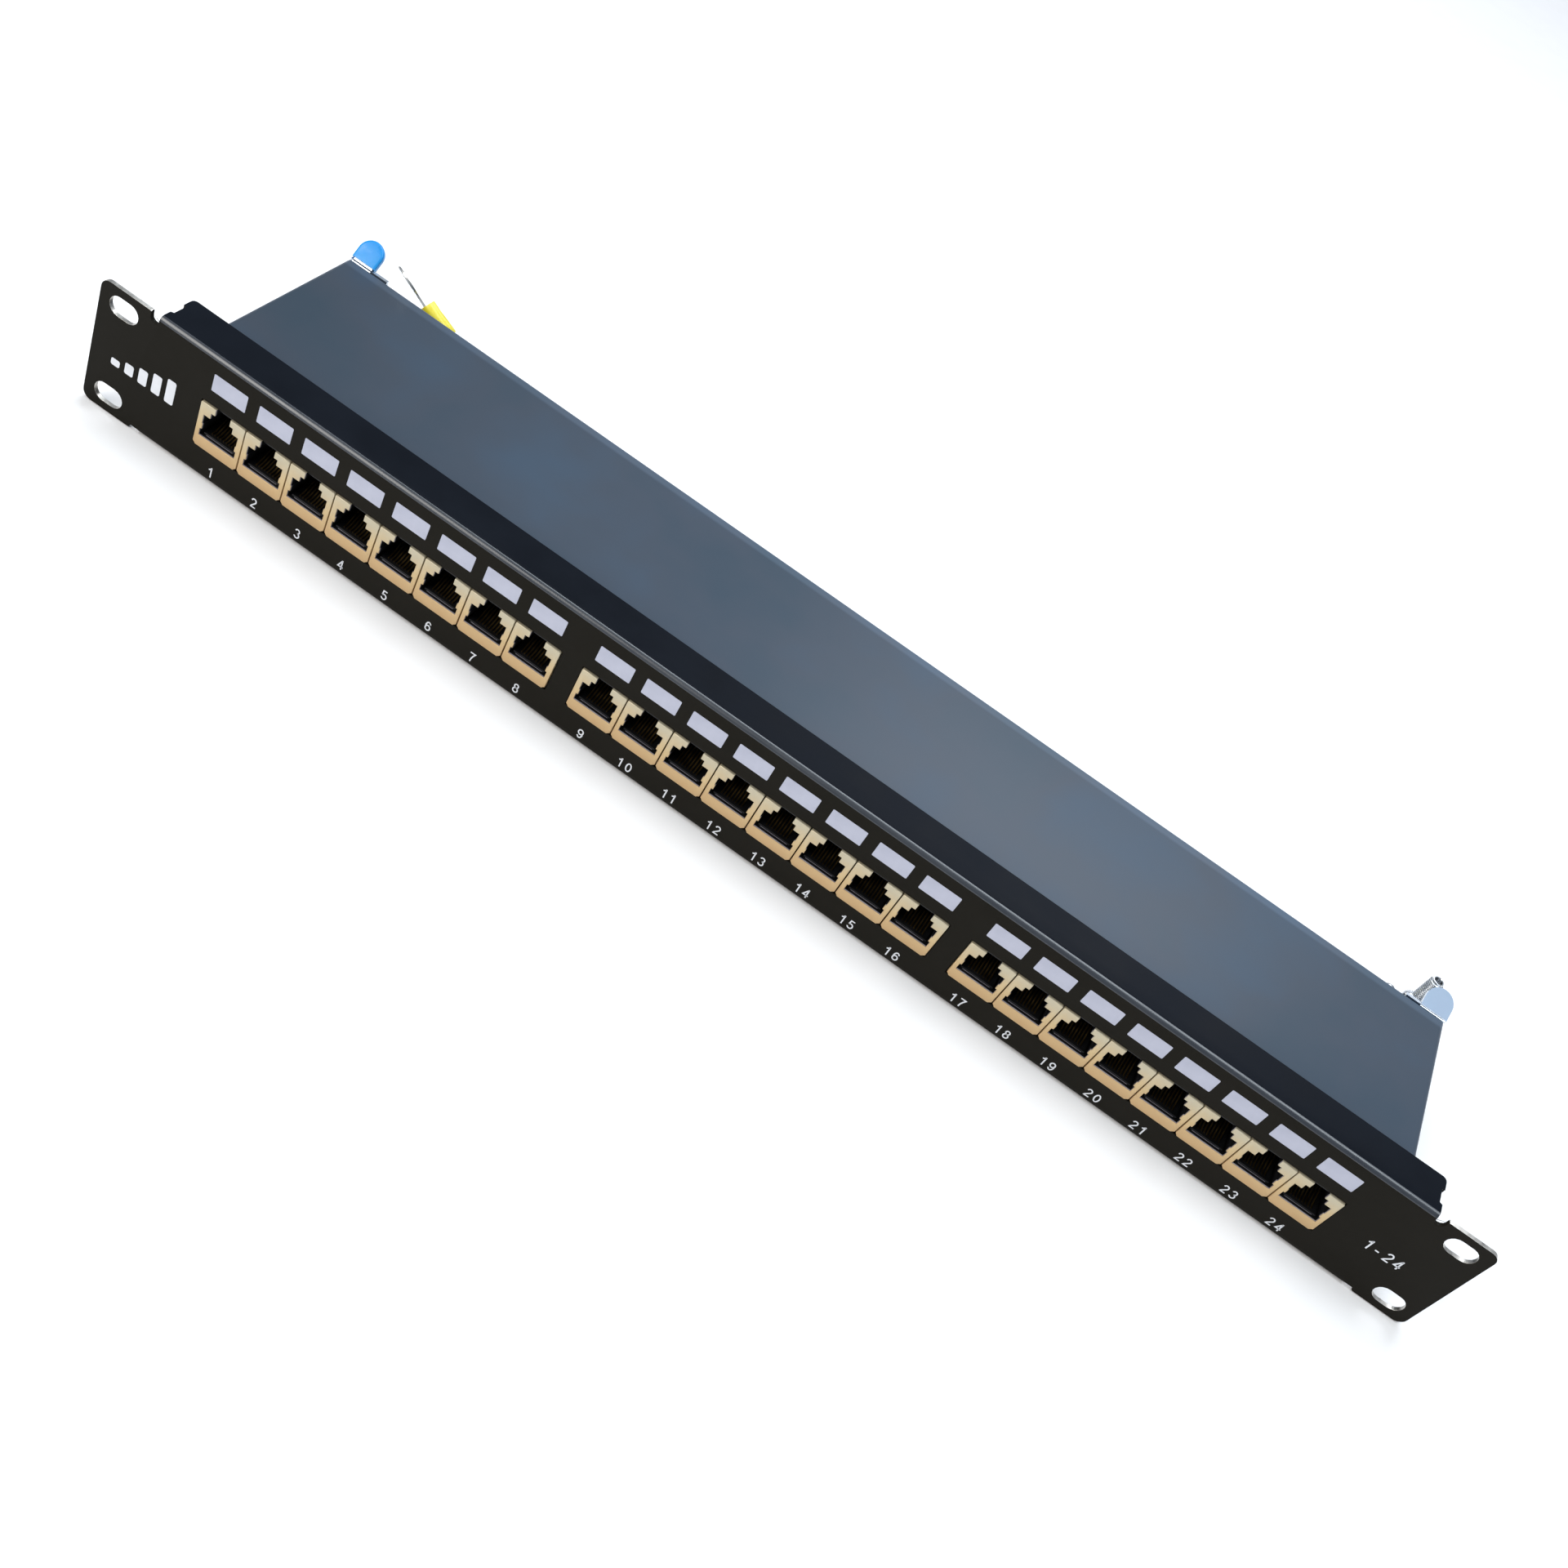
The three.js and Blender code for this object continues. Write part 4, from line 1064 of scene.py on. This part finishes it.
TAB_FACE = {"x": 206, "y": 93.4, "z": 8.6}
FACING, LEVEL = 0.5, 0.98  # shares of a normal along an axis: facing along it, and square to it


def finish_node(name, look, edge):
    """A kept CAD node: its material, and smooth bends with broken edges, or flat faces if edge is 0."""
    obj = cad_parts[name]
    mesh = obj.data
    mesh.materials.clear()
    mesh.materials.append(LOOKS[look])
    if "custom_normal" in mesh.attributes:
        mesh.attributes.remove(mesh.attributes["custom_normal"])
    mesh.polygons.foreach_set("use_smooth", [edge > 0] * len(mesh.polygons))
    weld = obj.modifiers.new("weld", "WELD")
    weld.merge_threshold = 0.002 * MM
    if edge > 0:
        flat = obj.modifiers.new("flat", "DECIMATE")
        flat.decimate_type = "DISSOLVE"
        flat.angle_limit = math.radians(1)
        flat.delimit = {"MATERIAL"}
        rounded_edges(obj, edge)


def panel_looks():
    """The flanges' bluish tone as painted reflection, the bends' painted highlight, and bare steel on cut
    edges, partly bare metal and partly painted highlight.
    """
    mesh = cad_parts["front_panel"].data
    for look in ("bare_steel_and_highlight", "panel_flange_painted_reflection", "panel_bend_painted_highlight"):
        mesh.materials.append(LOOKS[look])
    bare_and_highlight, flange, bend = 1, 2, 3
    flange_y = at(0, FLANGE_START, 0).y
    end = max(v.co.x for v in mesh.vertices if v.co.y > flange_y) / MM
    for polygon in mesh.polygons:
        x, y, z = TO_ROW.inverted() @ polygon.center
        across, _, up = (abs(n) for n in polygon.normal)
        in_recess = end - RECESS["reach"] < abs(x) < end + 0.1 and RECESS["y0"] < y < RECESS["y1"]
        in_slot = (
            abs(abs(x) - RACK_SLOT["x"]) < RACK_SLOT["half_x"]
            and abs(abs(z) - RACK_SLOT["z"]) < RACK_SLOT["half_z"])
        ear_top = abs(x) > EAR["from"] and z > EAR["top"] and y < EAR["back"]
        on_flange = abs(x) < end and z > 0
        # Slot and recess edges: partly bare metal, partly painted highlight; the ears' top edges: painted
        # highlight.
        if (
            (in_slot and across + up > FACING) or (in_recess and across > FACING)
            or (ear_top and up > FACING)
        ):
            polygon.material_index = bare_and_highlight
        # Up-facing flange faces get the painted reflection.
        elif on_flange and up > LEVEL:
            polygon.material_index = flange
        # The upper front bend gets the painted highlight.
        elif on_flange and up > 0.3 and polygon.normal.y < -0.1:
            polygon.material_index = bend


def tab_look():
    """The finger tab's upward face at the right is duller and bluer than the rest of the tray."""
    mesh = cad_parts["rear_tray"].data
    mesh.materials.append(LOOKS["tab_face"])
    for polygon in mesh.polygons:
        x, y, z = TO_ROW.inverted() @ polygon.center
        if x > TAB_FACE["x"] and y > TAB_FACE["y"] and z > TAB_FACE["z"] and polygon.normal.z > 0.7:
            polygon.material_index = 1


def kept_nodes():
    for name, (look, edge) in KEPT.items():
        finish_node(name, look, edge)
    for stem, (look, edge) in KEPT_ROWS.items():
        for letter in GROUPS:
            finish_node(f"{stem}_{letter}", look, edge)
    for name in RIVETS:
        finish_node(name, "zinc_turned", 0.1)
    panel_looks()
    tab_look()


# ---------- surroundings ----------
def floor():
    nodes, links, shader = new_look("floor")
    grain = noise(nodes, links, object_space(nodes), 40)
    tone = ramp(nodes, links, grain, two_tone((0.95, 0.93, 0.92), (0.97, 0.95, 0.94)))
    links.new(tone, shader.inputs["Base Color"])
    shader.inputs["Roughness"].default_value = 0.9
    shader.inputs["Specular IOR Level"].default_value = 0.1
    half, drop = 4.0, 0.0003
    mesh = bpy.data.meshes.new("floor")
    corners = [(-half, -half, -drop), (half, -half, -drop), (half, half, -drop), (-half, half, -drop)]
    mesh.from_pydata(corners, [], [(0, 1, 2, 3)])
    mesh.materials.append(LOOKS["floor"])
    obj = bpy.data.objects.new("floor", mesh)
    bpy.context.scene.collection.objects.link(obj)


def soft_light(name, place, size, power, colour):
    """A rectangular light that looks at the middle of the panel; metres and watts."""
    data = bpy.data.lights.new(name, "AREA")
    data.shape = "RECTANGLE"
    data.size, data.size_y = size
    data.energy = power
    data.color = colour
    obj = bpy.data.objects.new(name, data)
    obj.location = place
    obj.rotation_euler = (Vector((0, 0, 0.02)) - Vector(place)).to_track_quat("-Z", "Y").to_euler()
    bpy.context.scene.collection.objects.link(obj)


def surroundings():
    """A pale floor, a soft sky and three soft lights."""
    floor()
    world = bpy.data.worlds.new("studio")
    world.use_nodes = True
    background = world.node_tree.nodes["Background"]
    background.inputs["Color"].default_value = (0.82, 0.9, 1.0, 1)
    background.inputs["Strength"].default_value = 0.42
    bpy.context.scene.world = world
    soft_light("overhead", (0.1, 0.15, 1.5), size=(2.2, 0.5), power=20, colour=(0.86, 0.94, 1.0))
    soft_light("front_left", (-1.1, -1.3, 1.3), size=(1.2, 1.2), power=27, colour=(1.0, 0.97, 0.92))
    soft_light("behind", (0.3, 1.6, 1.5), size=(0.9, 0.9), power=11, colour=(0.9, 0.94, 1.0))
    bpy.context.scene.view_settings.view_transform = "Standard"


camera()
materials()
lead_and_lugs()
jacks()
printing()
for letter, ports in GROUPS.items():
    punch_down_row(letter, ports)
screws()
earth_stud()
tab_cap()
for tie in (1, 2, 3):
    lead_tie(f"lead_tie_{tie}")
kept_nodes()
surroundings()
